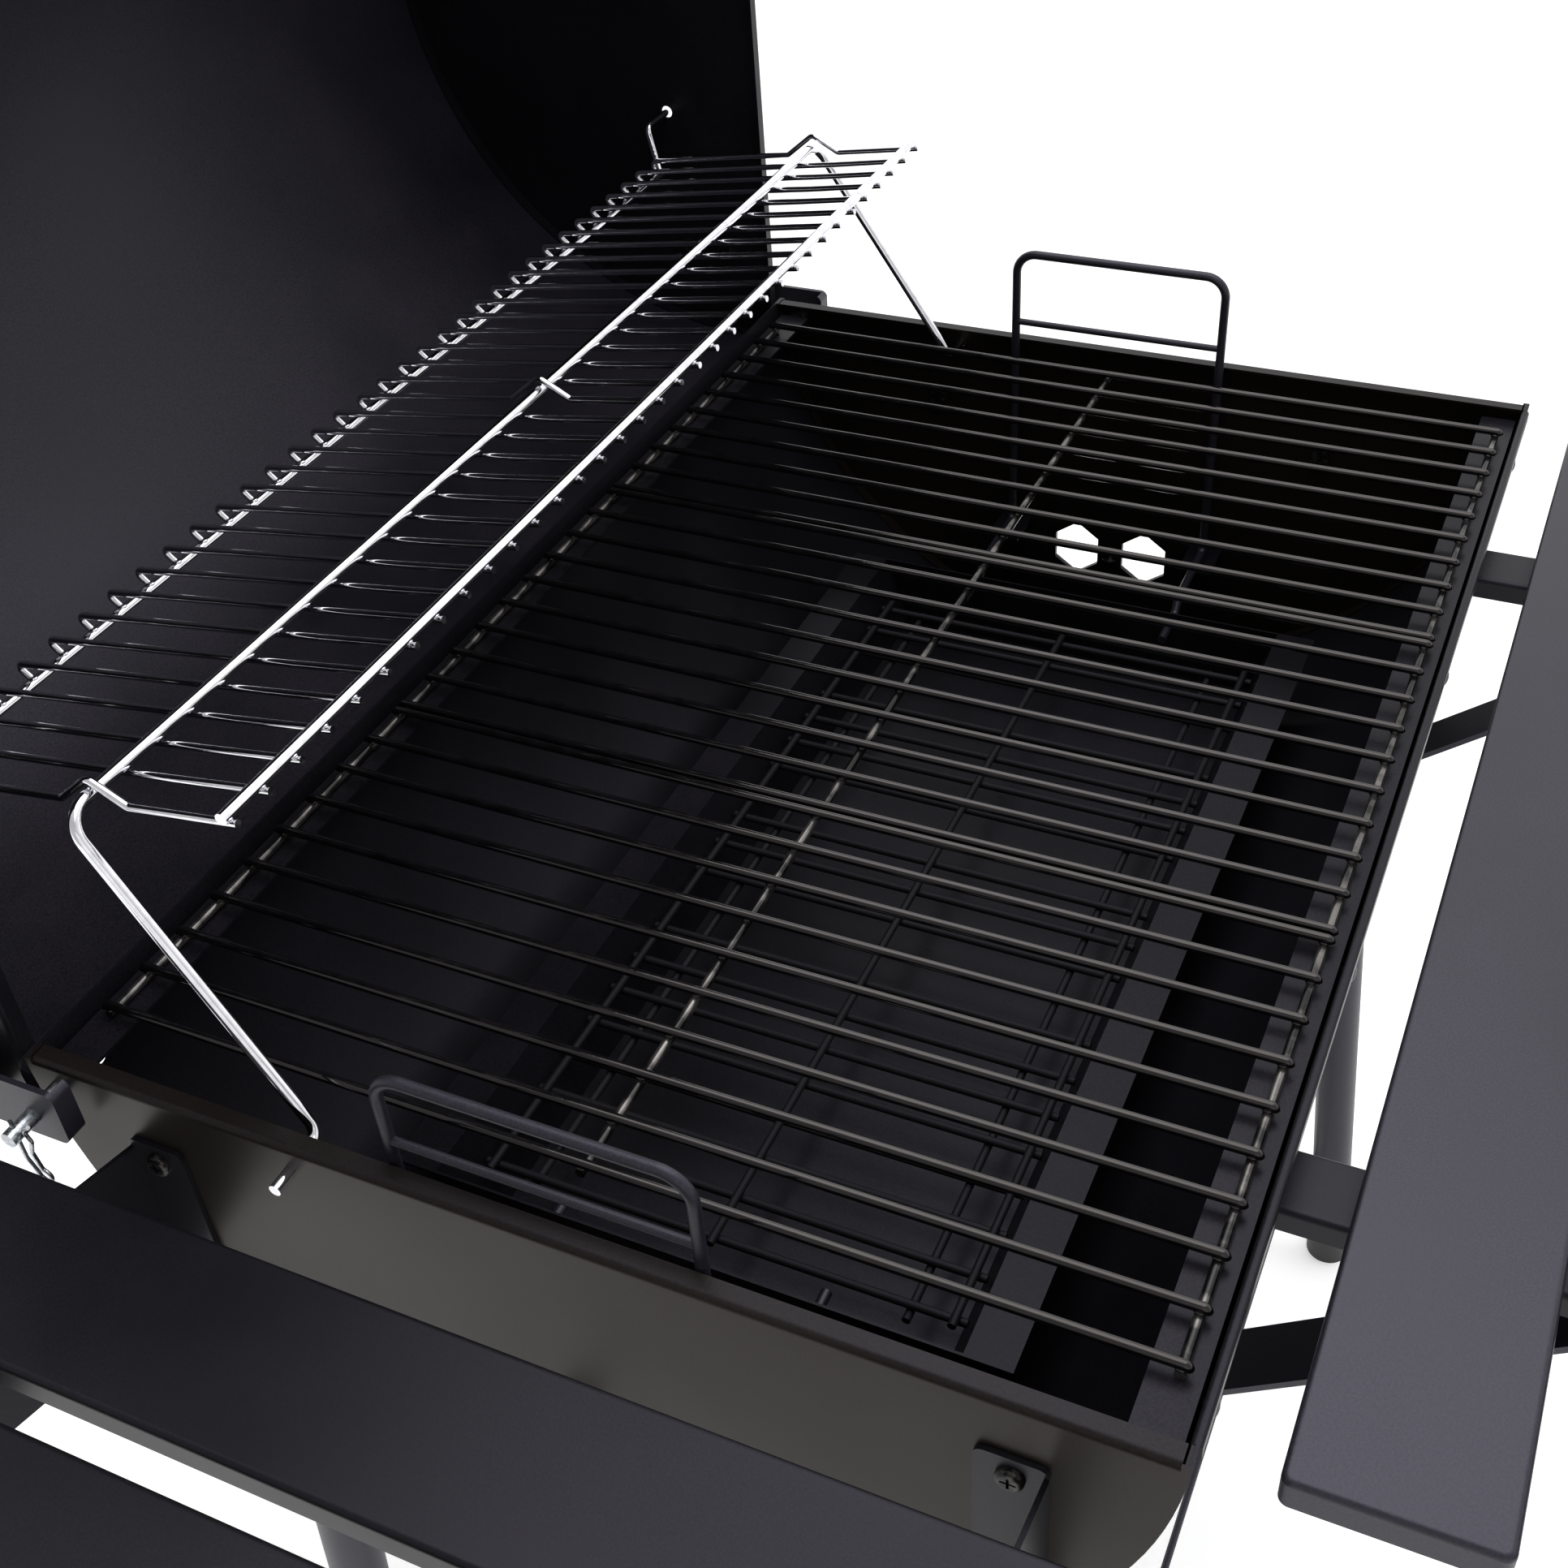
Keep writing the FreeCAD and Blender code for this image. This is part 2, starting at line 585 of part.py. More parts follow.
def stand():
    """Four tube legs on saddles, with rails, a lower rack, feet and a wheeled end."""
    barrel_bulk = disc(radius + 2.9, -500, 500)
    saddle_ring = ring(radius + 2.8, radius + 0.2, -leg_x - 32, -leg_x + 18)
    saddle = saddle_ring.common(block((-500, -190, -210), (0, -118, -90)))
    nodes["leg_saddles"] = Part.makeCompound(
        [saddle, mirrored_x(saddle), mirrored_y(saddle), mirrored_x(mirrored_y(saddle))])

    high = -105.0
    foot_end = floor_z + 4
    wheel_end = axle_z - 14
    for name, side, low in (("left", -1, wheel_end), ("right", 1, foot_end)):
        x = side * leg_x
        leg = tube((x, leg_line(high), high), (x, leg_line(low - 10), low - 10), leg_radius, leg_wall)
        leg = leg.cut(barrel_bulk).cut(block((-500, -400, low - 40), (500, 400, low)))
        leg = max(leg.Solids, key=lambda s: s.Volume)
        if side < 0:
            leg = drill(leg, (x, leg_line(axle_z), axle_z), AXIS_Y, axle_radius + 0.1, 60)
        nodes["leg_front_" + name] = leg
        nodes["leg_back_" + name] = mirrored_y(leg)

    foot_y = leg_line(floor_z)
    high_foot = floor_z + 24
    foot_radius = leg_radius + foot_wall
    cap = rod((leg_x, foot_y, floor_z - 10), (leg_x, leg_line(high_foot), high_foot), foot_radius)
    cap = cap.cut(block((-500, -400, floor_z - 40), (500, 400, floor_z)))
    y = leg_line(foot_end)
    top = floor_z + 40
    cap = cap.cut(rod((leg_x, y, foot_end), (leg_x, leg_line(top), top), leg_radius + 0.2))
    cap = cap.cut(rod((leg_x, y, foot_end - 0.1), (leg_x, y, foot_end + 6), leg_radius + 0.4))
    nodes["foot_caps"] = Part.makeCompound([cap, mirrored_y(cap)])

    legs = []
    for x in (-leg_x, leg_x):
        for side in (-1, 1):
            foot = (x, side * leg_line(floor_z), floor_z)
            legs.append(rod((x, side * leg_line(high), high), foot, leg_radius + 0.1))
    leg_bulk = Part.makeCompound(legs)
    y = leg_line(rail_z)
    rail = tube((-leg_x, y, rail_z), (leg_x, y, rail_z), rail_radius, 1.5).cut(leg_bulk)
    rail = max(rail.Solids, key=lambda s: s.Volume)
    nodes["leg_rails"] = Part.makeCompound([rail, mirrored_y(rail)])

    bar_z = rack_level - rack_rod_radius - rack_bar_radius
    reach = -leg_line(bar_z)
    bar = tube((leg_x, -reach, bar_z), (leg_x, reach, bar_z), rack_bar_radius, 1.5)
    nodes["rack_bar"] = max(bar.cut(leg_bulk).Solids, key=lambda s: s.Volume)
    rods = []
    half = lower_rack_half
    depth = lower_rack_depth
    for y in (-depth, depth):
        rods.append(rod((-half, y, rack_level), (half, y, rack_level), rack_rod_radius))
    for x in (-half + 6, -half / 2, half / 2, half - 6):
        rods.append(rod((x, -depth, rack_level), (x, depth, rack_level), rack_rod_radius - 0.2))
    pitch = 2 * depth / (lower_rack_wires + 1)
    wire_z = rack_level + rack_rod_radius + 1.1
    for i in range(lower_rack_wires):
        y = -depth + pitch * (i + 1)
        rods.append(rod((-half, y, wire_z), (half, y, wire_z), 1.75))
    nodes["lower_rack"] = fuse(rods)


def wheels():
    wheel_near = leg_line(axle_z) - leg_radius - 4
    wheel_far = wheel_near - wheel_width
    tip = wheel_far - 12
    nodes["axle"] = rod((-leg_x, tip, axle_z), (-leg_x, -tip, axle_z), axle_radius)
    tyre = rod((-leg_x, wheel_far, axle_z), (-leg_x, wheel_near, axle_z), wheel_radius)
    tyre = tyre.makeFillet(6, [e for e in tyre.Edges if e.BoundBox.YLength < 0.01])
    tyre = tyre.cut(rod((-leg_x, wheel_far - 1, axle_z), (-leg_x, wheel_near + 1, axle_z), wheel_radius - 16))
    hub = rod((-leg_x, wheel_far, axle_z), (-leg_x, wheel_near, axle_z), 17)
    rim = tube((-leg_x, wheel_far + 4, axle_z), (-leg_x, wheel_near - 4, axle_z), wheel_radius - 16.1, 4)
    web = rod((-leg_x, wheel_far + 15, axle_z), (-leg_x, wheel_far + 21, axle_z), wheel_radius - 18)
    wheel = fuse([hub, rim, web])
    for i in range(6):
        turn = math.radians(60 * i)
        x = -leg_x + 38 * math.cos(turn)
        wheel = drill(wheel, (x, wheel_far + 18, axle_z + 38 * math.sin(turn)), AXIS_Y, 9, 20)
    wheel = drill(wheel, (-leg_x, wheel_far + 18, axle_z), AXIS_Y, axle_radius + 0.08, 80)
    cap = rod((-leg_x, tip - 3, axle_z), (-leg_x, wheel_far - 0.6, axle_z), 10)
    cap = cap.makeFillet(3, [e for e in cap.Edges if e.BoundBox.YMax < tip - 2.9])
    cap = cap.cut(rod((-leg_x, tip, axle_z), (-leg_x, 0, axle_z), axle_radius))
    nodes["axle_caps"] = Part.makeCompound([cap, mirrored_y(cap)])
    nodes["wheel_front_tyre"] = tyre
    nodes["wheel_back_tyre"] = mirrored_y(tyre)
    nodes["wheel_front_hub"] = wheel
    nodes["wheel_back_hub"] = mirrored_y(wheel)


def slat(low, high):
    """A folded sheet slat: a top with a lip all round, open beneath."""
    outer = block(low, high)
    outer = outer.makeFillet(4, [e for e in outer.Edges if e.BoundBox.ZLength > 5])
    outer = outer.makeFillet(2.5, [e for e in outer.Edges if e.BoundBox.ZMin > high[2] - 0.01])
    inner = block((low[0] + sheet, low[1] + sheet, low[2] - 1), [b - sheet for b in high])
    inner = inner.makeFillet(2.8, [e for e in inner.Edges if e.BoundBox.ZLength > 5])
    inner = inner.makeFillet(1.3, [e for e in inner.Edges if e.BoundBox.ZMin > high[2] - sheet - 0.01])
    return outer.cut(inner)


def front_shelf():
    low = slat_top - slat_drop
    near = -front_slat_start
    for name in ("inner", "outer"):
        corner = (-front_slat_half, near - slat_width, low)
        nodes["front_slat_" + name] = slat(corner, (front_slat_half, near, slat_top))
        near -= slat_width + slat_gap
    arm_end = near + slat_gap + 6
    struts = []
    half = arm_width / 2
    under = low - arm_height
    for name, x in (("left", -arm_x), ("right", arm_x)):
        arm = block((x - half, arm_end, low - arm_height), (x + half, -215, low))
        long_top = [e for e in arm.Edges if e.BoundBox.YLength > 100 and e.BoundBox.ZMin > low - 0.01]
        arm = arm.makeFillet(2.5, long_top)
        inner = block((x - half + 1.5, arm_end - 1, low - arm_height - 1), (x + half - 1.5, -214, low - 1.5))
        arm = arm.cut(inner).cut(disc(radius + 0.2, -500, 500))
        strut_top = (strut_y, under - strut_sheet)
        strut_foot = (leg_line(rail_z) - 2, rail_z + rail_radius + 1)
        along = V(0, strut_foot[0] - strut_top[0], strut_foot[1] - strut_top[1])
        length = along.Length
        strut = Part.makeBox(arm_width, length, strut_sheet, V(x - half, 0, 0))
        tilt = math.degrees(math.atan2(along.z, along.y))
        strut.rotate(V(0, 0, 0), AXIS_X, tilt)
        strut.translate(V(0, strut_top[0], strut_top[1]))
        tab = block((x - half, strut_y - 14, under - strut_sheet), (x + half, strut_y + 2, under))
        strut = fuse([strut, tab])
        rail_y = leg_line(rail_z)
        strut = strut.cut(rod((x - 20, rail_y, rail_z), (x + 20, rail_y, rail_z), rail_radius + 0.1))
        nodes["shelf_arm_" + name] = arm
        struts.append(strut)
    nodes["shelf_struts"] = Part.makeCompound(struts)


def side_shelf():
    low = slat_top - slat_drop
    near = -side_slat_start
    for name in ("inner", "middle", "outer"):
        corner = (near - slat_width - 1, -side_slat_half, low)
        nodes["side_slat_" + name] = slat(corner, (near, side_slat_half, slat_top))
        near -= slat_width + 1 + slat_gap
    reach = near + slat_gap + 8
    top = low - 0.1
    back = -half_length - 0.1
    web_y = -bracket_y - bracket_width / 2
    low_z = -116.0
    foot = block((back - 2, web_y, low_z), (back, web_y + bracket_width, top - 5))
    foot = foot.makeFillet(4, [e for e in foot.Edges if e.BoundBox.XLength > 1 and e.BoundBox.YLength < 0.01
                               and e.BoundBox.ZLength < 0.01])
    outline = [(back - 1, top - 10), (-side_slat_start - 4, top), (reach, top), (reach, top - 16),
               (back - 1, low_z)]
    points = [V(x, web_y, z) for x, z in outline]
    web = Part.Face(Part.makePolygon(points + points[:1])).extrude(V(0, 2, 0))
    seat = block((reach, web_y, top - 2), (-side_slat_start - 4, web_y + bracket_width, top))
    bracket = fuse([foot, web, seat])
    screws = []
    for z in bracket_screw_zs:
        bracket = drill(bracket, (back, -bracket_y, z), AXIS_X, 2.5, 8)
        shank = rod((back - 2.1, -bracket_y, z), (-panel_inside + 4, -bracket_y, z), 2.45)
        head = rod((back - 4.8, -bracket_y, z), (back - 2, -bracket_y, z), 5.2)
        head = head.makeFillet(1.8, [e for e in head.Edges if e.BoundBox.XMax < back - 4.7])
        nut = rod((-panel_inside + 0.1, -bracket_y, z), (-panel_inside + 3.6, -bracket_y, z), 4.8)
        slots = [block((back - 6, -bracket_y - 2.8, z - 0.5), (back - 3.4, -bracket_y + 2.8, z + 0.5)),
                 block((back - 6, -bracket_y - 0.5, z - 2.8), (back - 3.4, -bracket_y + 0.5, z + 2.8))]
        screws.append(fuse([shank, head, nut]).cut(Part.makeCompound(slots)))
    nodes["side_bracket_front"] = bracket
    nodes["side_bracket_back"] = mirrored_y(bracket)
    panel_screws.extend(screws + [mirrored_y(s) for s in screws])


def carry_handle():
    """A bar across the right end, for lifting that end and rolling the grill on its wheels."""
    y, z = carry_bolt_y, carry_z
    out = half_length + 48
    start = half_length + 0.3
    grip = bent_rod([(start, -y, z), (out, -y, z), (out, y, z), (start, y, z)], 8.0, 20.0)
    bolts = []
    for y in (-carry_bolt_y, carry_bolt_y):
        grip = grip.cut(rod((half_length, y, z), (half_length + 16, y, z), 3.05))
        bolt = fuse([rod((panel_inside - 0.1, y, z), (half_length + 15, y, z), 2.98),
                     rod((panel_inside - 4.0, y, z), (panel_inside - 0.1, y, z), 5.5)])
        bolts.append(bolt)
    nodes["carry_handle"] = grip
    panel_screws.extend(bolts)


def build():
    barrel()
    grate_ledges()
    tray_rests()
    lid()
    lid_hinges()
    warming_rack()
    for name, x in (("left", -grate_spacing), ("middle", 0.0), ("right", grate_spacing)):
        nodes["cooking_grate_" + name] = cooking_grate(x)
    charcoal_tray()
    dampers()
    stand()
    wheels()
    front_shelf()
    side_shelf()
    carry_handle()
    nodes["rivets"] = Part.makeCompound(rivets)
    nodes["lid_bolts"] = Part.makeCompound(lid_bolts)
    nodes["panel_screws"] = Part.makeCompound(panel_screws)


def main():
    build()
    everything = Part.makeCompound(list(nodes.values())).optimalBoundingBox(False)
    origin = V((everything.XMin + everything.XMax) / 2, (everything.YMin + everything.YMax) / 2, floor_z)
    os.makedirs("parts", exist_ok=True)
    for name, shape in nodes.items():
        shape.translate(-origin)
        shape.exportStep("parts/" + name + ".step")
        print(name, shape.isValid(), len(shape.Solids), round(shape.Volume))
    print("nodes", len(nodes), "origin", origin, "box", everything)


main()
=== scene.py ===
import math

import bmesh
import bpy
from mathutils import Matrix, Quaternion, Vector


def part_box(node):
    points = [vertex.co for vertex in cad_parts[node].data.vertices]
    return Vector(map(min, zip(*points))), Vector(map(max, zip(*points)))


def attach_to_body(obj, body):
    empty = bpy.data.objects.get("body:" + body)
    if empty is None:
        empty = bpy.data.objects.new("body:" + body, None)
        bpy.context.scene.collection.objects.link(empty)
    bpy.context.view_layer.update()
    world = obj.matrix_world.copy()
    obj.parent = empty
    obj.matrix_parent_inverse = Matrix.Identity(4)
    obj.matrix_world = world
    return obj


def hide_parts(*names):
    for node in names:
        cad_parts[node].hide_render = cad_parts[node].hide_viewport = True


bl_info = {
    "name": "Barrel Charcoal Grill",
    "version": (1, 0, 0),
    "blender": (4, 5, 0),
    "location": "View3D > Sidebar > Barrel Grill",
    "description": "Builds the wires, fastenings, dial, tyres and finishes of a barrel charcoal grill",
    "category": "Object",
}

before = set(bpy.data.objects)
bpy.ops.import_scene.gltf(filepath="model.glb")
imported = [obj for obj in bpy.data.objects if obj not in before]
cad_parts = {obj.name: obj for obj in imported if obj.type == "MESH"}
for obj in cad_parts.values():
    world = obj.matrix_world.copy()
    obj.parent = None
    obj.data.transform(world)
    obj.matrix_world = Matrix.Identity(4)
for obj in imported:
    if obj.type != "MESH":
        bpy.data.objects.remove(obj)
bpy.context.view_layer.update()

# The barrel sets the places: its middle along X and Y, and its rim plane.
barrel_low, barrel_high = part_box("barrel_shell")
MIDDLE = Vector(((barrel_low.x + barrel_high.x) / 2, (barrel_low.y + barrel_high.y) / 2, barrel_high.z))

MM = 0.001

# The camera: millimetres from the middle of the rim plane, the way it looks, and its tilt about that.
CAMERA_PLACE = (-670.8, -275, 525)
CAMERA_FACING = Vector((0.6894, 0.3569, -0.6303))
CAMERA_TILT = math.radians(-4.46)


# ---------------------------------------------------------------- colours and nodes

def linear(hex_colour):
    """An sRGB hex colour as the linear RGBA that Blender's sockets hold."""
    channels = [int(hex_colour[i:i + 2], 16) / 255 for i in (1, 3, 5)]
    return tuple(c / 12.92 if c <= 0.04045 else ((c + 0.055) / 1.055) ** 2.4 for c in channels) + (1.0,)


def add(tree, kind, inputs=None, **settings):
    """Add a node with its settings; each input is a value, or another node's output to link."""
    node = tree.nodes.new(kind)
    for key, value in settings.items():
        setattr(node, key, value)
    for key, value in (inputs or {}).items():
        if isinstance(value, bpy.types.NodeSocket):
            tree.links.new(value, node.inputs[key])
        else:
            node.inputs[key].default_value = value
    return node


def new_material(name, **surface):
    """A material with one Principled shader, whose constant sockets are set directly."""
    material = bpy.data.materials.new(name)
    material.use_nodes = True
    tree = material.node_tree
    tree.nodes.clear()
    shader = add(tree, "ShaderNodeBsdfPrincipled", surface)
    add(tree, "ShaderNodeOutputMaterial", {"Surface": shader.outputs[0]})
    place = add(tree, "ShaderNodeTexCoord").outputs["Object"]
    return material, tree, shader, place


def noise(tree, place, size, detail=2.0, stretch=(1, 1, 1)):
    """Cloudy noise whose features are about this size in metres."""
    scaled = add(tree, "ShaderNodeMapping", {"Vector": place, "Scale": stretch}).outputs[0]
    return add(tree, "ShaderNodeTexNoise", {"Vector": scaled, "Scale": 1 / size,
                                            "Detail": detail}).outputs[0]


def ramp(tree, value, stops):
    """Map a value to colours: each stop is a position and a linear colour."""
    node = add(tree, "ShaderNodeValToRGB", {"Fac": value})
    first, last = node.color_ramp.elements
    for element, (position, colour) in zip((first, last), stops):
        element.position = position
        element.color = colour
    return node.outputs[0]


def spread(tree, value, low, high):
    """Map the usual span of a noise, 0.3 to 0.7, to a range."""
    return add(tree, "ShaderNodeMapRange", {"Value": value, "From Min": 0.3, "From Max": 0.7, "To Min": low,
                                            "To Max": high}).outputs[0]


def mottle(tree, shader, value, low, high):
    """Colour the shader by a value, between two stops that are each a position and a hex colour."""
    stops = [(position, linear(hex_colour)) for position, hex_colour in (low, high)]
    tree.links.new(ramp(tree, value, stops), shader.inputs["Base Color"])


def roughen(tree, shader, value, low, high):
    """Let the shader's roughness wander between two values."""
    tree.links.new(spread(tree, value, low, high), shader.inputs["Roughness"])


def bump(tree, shader, height, strength, distance):
    """Give the shader a bump from a height."""
    node = add(tree, "ShaderNodeBump", {"Height": height, "Strength": strength, "Distance": distance})
    tree.links.new(node.outputs[0], shader.inputs["Normal"])


# ---------------------------------------------------------------- materials

# The painted reflection tint of the powder coats where a face turns up to the sky: it paints in the sky's
# cool light.
PAINTED_SKY_REFLECTION_TINT = "#E9E6FA"


def powder_coat(name, hex_colour, dusty_hex, roughness, shine=0.4, tint="#F2F0FF", grain=1.4 * MM):
    """Baked powder coat on steel: satin black with an orange-peel grain; its reflections carry a painted
    tint, cooler on faces turned up.
    """
    material, tree, shader, place = new_material(name, **{"IOR": 1.45, "Specular IOR Level": shine})
    normal = add(tree, "ShaderNodeNewGeometry").outputs["Normal"]
    height = add(tree, "ShaderNodeSeparateXYZ", {"Vector": normal}).outputs["Z"]
    sky_facing_mask = add(tree, "ShaderNodeMapRange", {"Value": height, "From Min": 0.3, "From Max": 0.8}).outputs[0]
    # Painted reflection colour: the tint follows how far each face turns up, standing in for a cool sky.
    painted_reflection_tint = ramp(tree, sky_facing_mask, ((0.0, linear(tint)), (1.0, linear(PAINTED_SKY_REFLECTION_TINT))))
    tree.links.new(painted_reflection_tint, shader.inputs["Specular Tint"])
    cloud = noise(tree, place, 130 * MM, 4.0)
    speck = noise(tree, place, 0.9 * MM, 1.0)
    mixed = add(tree, "ShaderNodeMath", {0: cloud, 1: speck}, operation="MULTIPLY").outputs[0]
    mottle(tree, shader, mixed, (0.16, hex_colour), (0.42, dusty_hex))
    roughen(tree, shader, cloud, roughness - 0.05, roughness + 0.07)
    bump(tree, shader, noise(tree, place, grain, 2.0), 0.16, 0.12 * MM)
    return material


def porcelain_enamel():
    """Black enamel dipped and fired on wire: glassy, with slight runs, so it shows long bright streaks."""
    material, tree, shader, place = new_material("black porcelain enamel", **{
        "IOR": 1.5, "Specular IOR Level": 0.3, "Specular Tint": linear("#FFF3EE"), "Coat Weight": 0.3,
        "Coat Roughness": 0.06})
    runs = noise(tree, place, 9 * MM, 3.0)
    mottle(tree, shader, runs, (0.3, "#060607"), (0.75, "#100E10"))
    roughen(tree, shader, runs, 0.07, 0.14)
    bump(tree, shader, noise(tree, place, 3 * MM, 2.0), 0.2, 0.2 * MM)
    return material


def painted_glint_enamel():
    """Enamel on the wires that carry the others, mottled pale and metallic in dashes: painted glints that
    stand in for the glossy wires' reflections.
    """
    material, tree, shader, place = new_material("enamel with painted steel glints", **{"Metallic": 0.8})
    # Painted glints: a noise mottle between dark and pale metallic colours.
    painted_glint_mottle = noise(tree, place, 14 * MM, 3.0)
    mottle(tree, shader, painted_glint_mottle, (0.42, "#262525"), (0.62, "#6A6765"))
    roughen(tree, shader, painted_glint_mottle, 0.12, 0.2)
    bump(tree, shader, noise(tree, place, 3 * MM, 2.0), 0.15, 0.15 * MM)
    return material


def bright_chrome():
    """Chrome plate on drawn wire: a near mirror, with fine drawing lines and a few dull specks."""
    material, tree, shader, place = new_material("bright chrome plate", **{"Metallic": 1.0})
    specks = noise(tree, place, 5 * MM, 4.0)
    mottle(tree, shader, specks, (0.35, "#E6E6EA"), (0.8, "#CFCFD4"))
    roughen(tree, shader, specks, 0.05, 0.12)
    bump(tree, shader, noise(tree, place, 0.5 * MM, 1.0), 0.05, 0.05 * MM)
    return material


def zinc_plate():
    """Bright zinc plate on small steel parts: bluish grey, softly mottled by its crystals."""
    material, tree, shader, place = new_material("bright zinc plate", **{"Metallic": 1.0})
    cells = add(tree, "ShaderNodeTexVoronoi", {"Vector": place, "Scale": 1 / (1.5 * MM)}).outputs["Distance"]
    mottle(tree, shader, cells, (0.1, "#C8CCD0"), (0.9, "#9A9FA4"))
    roughen(tree, shader, noise(tree, place, 2 * MM), 0.22, 0.38)
    bump(tree, shader, cells, 0.08, 0.05 * MM)
    return material


def brushed_stainless():
    """Stainless steel brushed along the barrel: pale, with fine scratches running one way."""
    material, tree, shader, place = new_material("brushed stainless steel", **{"Metallic": 1.0})
    lines = noise(tree, place, 0.6 * MM, 3.0, stretch=(0.02, 1, 1))
    mottle(tree, shader, lines, (0.3, "#B4B5B7"), (0.7, "#D6D6D6"))
    roughen(tree, shader, lines, 0.24, 0.36)
    bump(tree, shader, lines, 0.12, 0.04 * MM)
    return material


def black_oxide():
    """Black oxide on screws: a thin dark film that lets the steel glint through on worn edges."""
    material, tree, shader, place = new_material("black oxide steel", **{"Metallic": 0.85})
    worn = noise(tree, place, 2.5 * MM, 4.0)
    mottle(tree, shader, worn, (0.45, "#1B1A1B"), (0.78, "#57534E"))
    roughen(tree, shader, worn, 0.3, 0.45)
    bump(tree, shader, worn, 0.1, 0.1 * MM)
    return material


def moulded_plastic():
    """Moulded nylon on feet and wheels: matt black with a faint spark-eroded texture."""
    material, tree, shader, place = new_material("black moulded nylon", **{"IOR": 1.5})
    fine = noise(tree, place, 0.8 * MM, 2.0)
    mottle(tree, shader, noise(tree, place, 40 * MM), (0.3, "#151516"), (0.7, "#222124"))
    roughen(tree, shader, fine, 0.48, 0.62)
    bump(tree, shader, fine, 0.25, 0.1 * MM)
    return material


def tyre_rubber():
    """Moulded rubber: very dark and dull, with a little dust in its pores."""
    material, tree, shader, place = new_material("black tyre rubber", **{"IOR": 1.52})
    dust = noise(tree, place, 14 * MM, 5.0)
    mottle(tree, shader, dust, (0.4, "#131312"), (0.85, "#2E2C29"))
    roughen(tree, shader, dust, 0.62, 0.8)
    bump(tree, shader, noise(tree, place, 1.2 * MM), 0.3, 0.15 * MM)
    return material


def dial_paint(name, low_hex, high_hex):
    """Screen-printed paint on a tin dial: flat and slightly chalky."""
    material, tree, shader, place = new_material(name, **{"IOR": 1.45})
    chalk = noise(tree, place, 4 * MM, 3.0)
    mottle(tree, shader, chalk, (0.3, low_hex), (0.7, high_hex))
    roughen(tree, shader, chalk, 0.4, 0.55)
    return material


def gauge_glass():
    """Flat soda-lime glass with the faintest ripple, seen only by its reflections."""
    material, tree, shader, place = new_material("gauge glass", **{"Transmission Weight": 1.0, "IOR": 1.5})
    roughen(tree, shader, noise(tree, place, 20 * MM), 0.0, 0.04)
    return material


def floor_paint():
    """Pale matt acrylic of a light table: barely uneven, and faintly lit so that shadows stay soft."""
    material, tree, shader, place = new_material("pale matt floor", **{
        "IOR": 1.3, "Emission Color": linear("#FFFFFF"), "Emission Strength": 0.3})
    soft = noise(tree, place, 900 * MM)
    mottle(tree, shader, soft, (0.3, "#FCFCFB"), (0.7, "#FEFEFE"))
    roughen(tree, shader, soft, 0.85, 0.95)
    return material


FINISHES = {
    "coat": lambda: powder_coat("satin black powder coat", "#121116", "#24222A", 0.4, 0.52),
    "side coat": lambda: powder_coat("deep black powder coat", "#0A090C", "#151418", 0.38, 0.26),
    "lid coat": lambda: powder_coat("rolled black heat-proof coat", "#111015", "#29262E", 0.4, 0.36,
                                    grain=2.6 * MM),
    # The shell coat is a darker, duller copy of the heat-proof coat: painted shade for the barrel's inside,
    # the lid ends and the tray rests.
    "shell shade coat": lambda: powder_coat("black heat-proof coat", "#0C0B0E", "#17161B", 0.36, 0.2),
    # The tray coat is a darker, duller copy of the heat-proof coat: painted shade for the tray and the grate
    # ledges deep in the barrel.
    "tray shade coat": lambda: powder_coat("tray heat-proof coat with painted shade", "#0D0C0F", "#1C1A1F", 0.32, 0.16),
    # The end panels' reflections get a painted warm tint.
    "end coat": lambda: powder_coat("warm black heat-proof coat", "#100D0B", "#1B1714", 0.36, 0.2,
                                    "#FFEFE2"),
    "stove black": lambda: powder_coat("matt stove black", "#060607", "#0F0E10", 0.62, 0.3, "#FFFFFF"),
    "enamel": porcelain_enamel,
    "glint enamel": painted_glint_enamel,
    "chrome": bright_chrome,
    "zinc": zinc_plate,
    "stainless": brushed_stainless,
    "oxide": black_oxide,
    "nylon": moulded_plastic,
    "rubber": tyre_rubber,
    "dial": lambda: dial_paint("white dial paint", "#E4E3DE", "#F1F0EC"),
    "ink": lambda: dial_paint("black dial ink", "#151515", "#242424"),
    "red": lambda: dial_paint("red needle paint", "#8E1912", "#A92318"),
    "glass": gauge_glass,
    "floor": floor_paint,
}
made_finishes = {}


def finish_of(name):
    """The finish by its short name, made once."""
    if name not in made_finishes:
        made_finishes[name] = FINISHES[name]()
    return made_finishes[name]


# ---------------------------------------------------------------- meshes

def islands(node):
    """The low and high corners of each separate solid in a CAD node."""
    work = bmesh.new()
    work.from_mesh(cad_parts[node].data)
    bmesh.ops.remove_doubles(work, verts=work.verts, dist=1e-6)
    left = set(work.verts)
    boxes = []
    while left:
        stack = [left.pop()]
        low, high = stack[0].co.copy(), stack[0].co.copy()
        while stack:
            vertex = stack.pop()
            low = Vector(map(min, low, vertex.co))
            high = Vector(map(max, high, vertex.co))
            for edge in vertex.link_edges:
                other = edge.other_vert(vertex)
                if other in left:
                    left.remove(other)
                    stack.append(other)
        boxes.append((low, high))
    work.free()
    return boxes


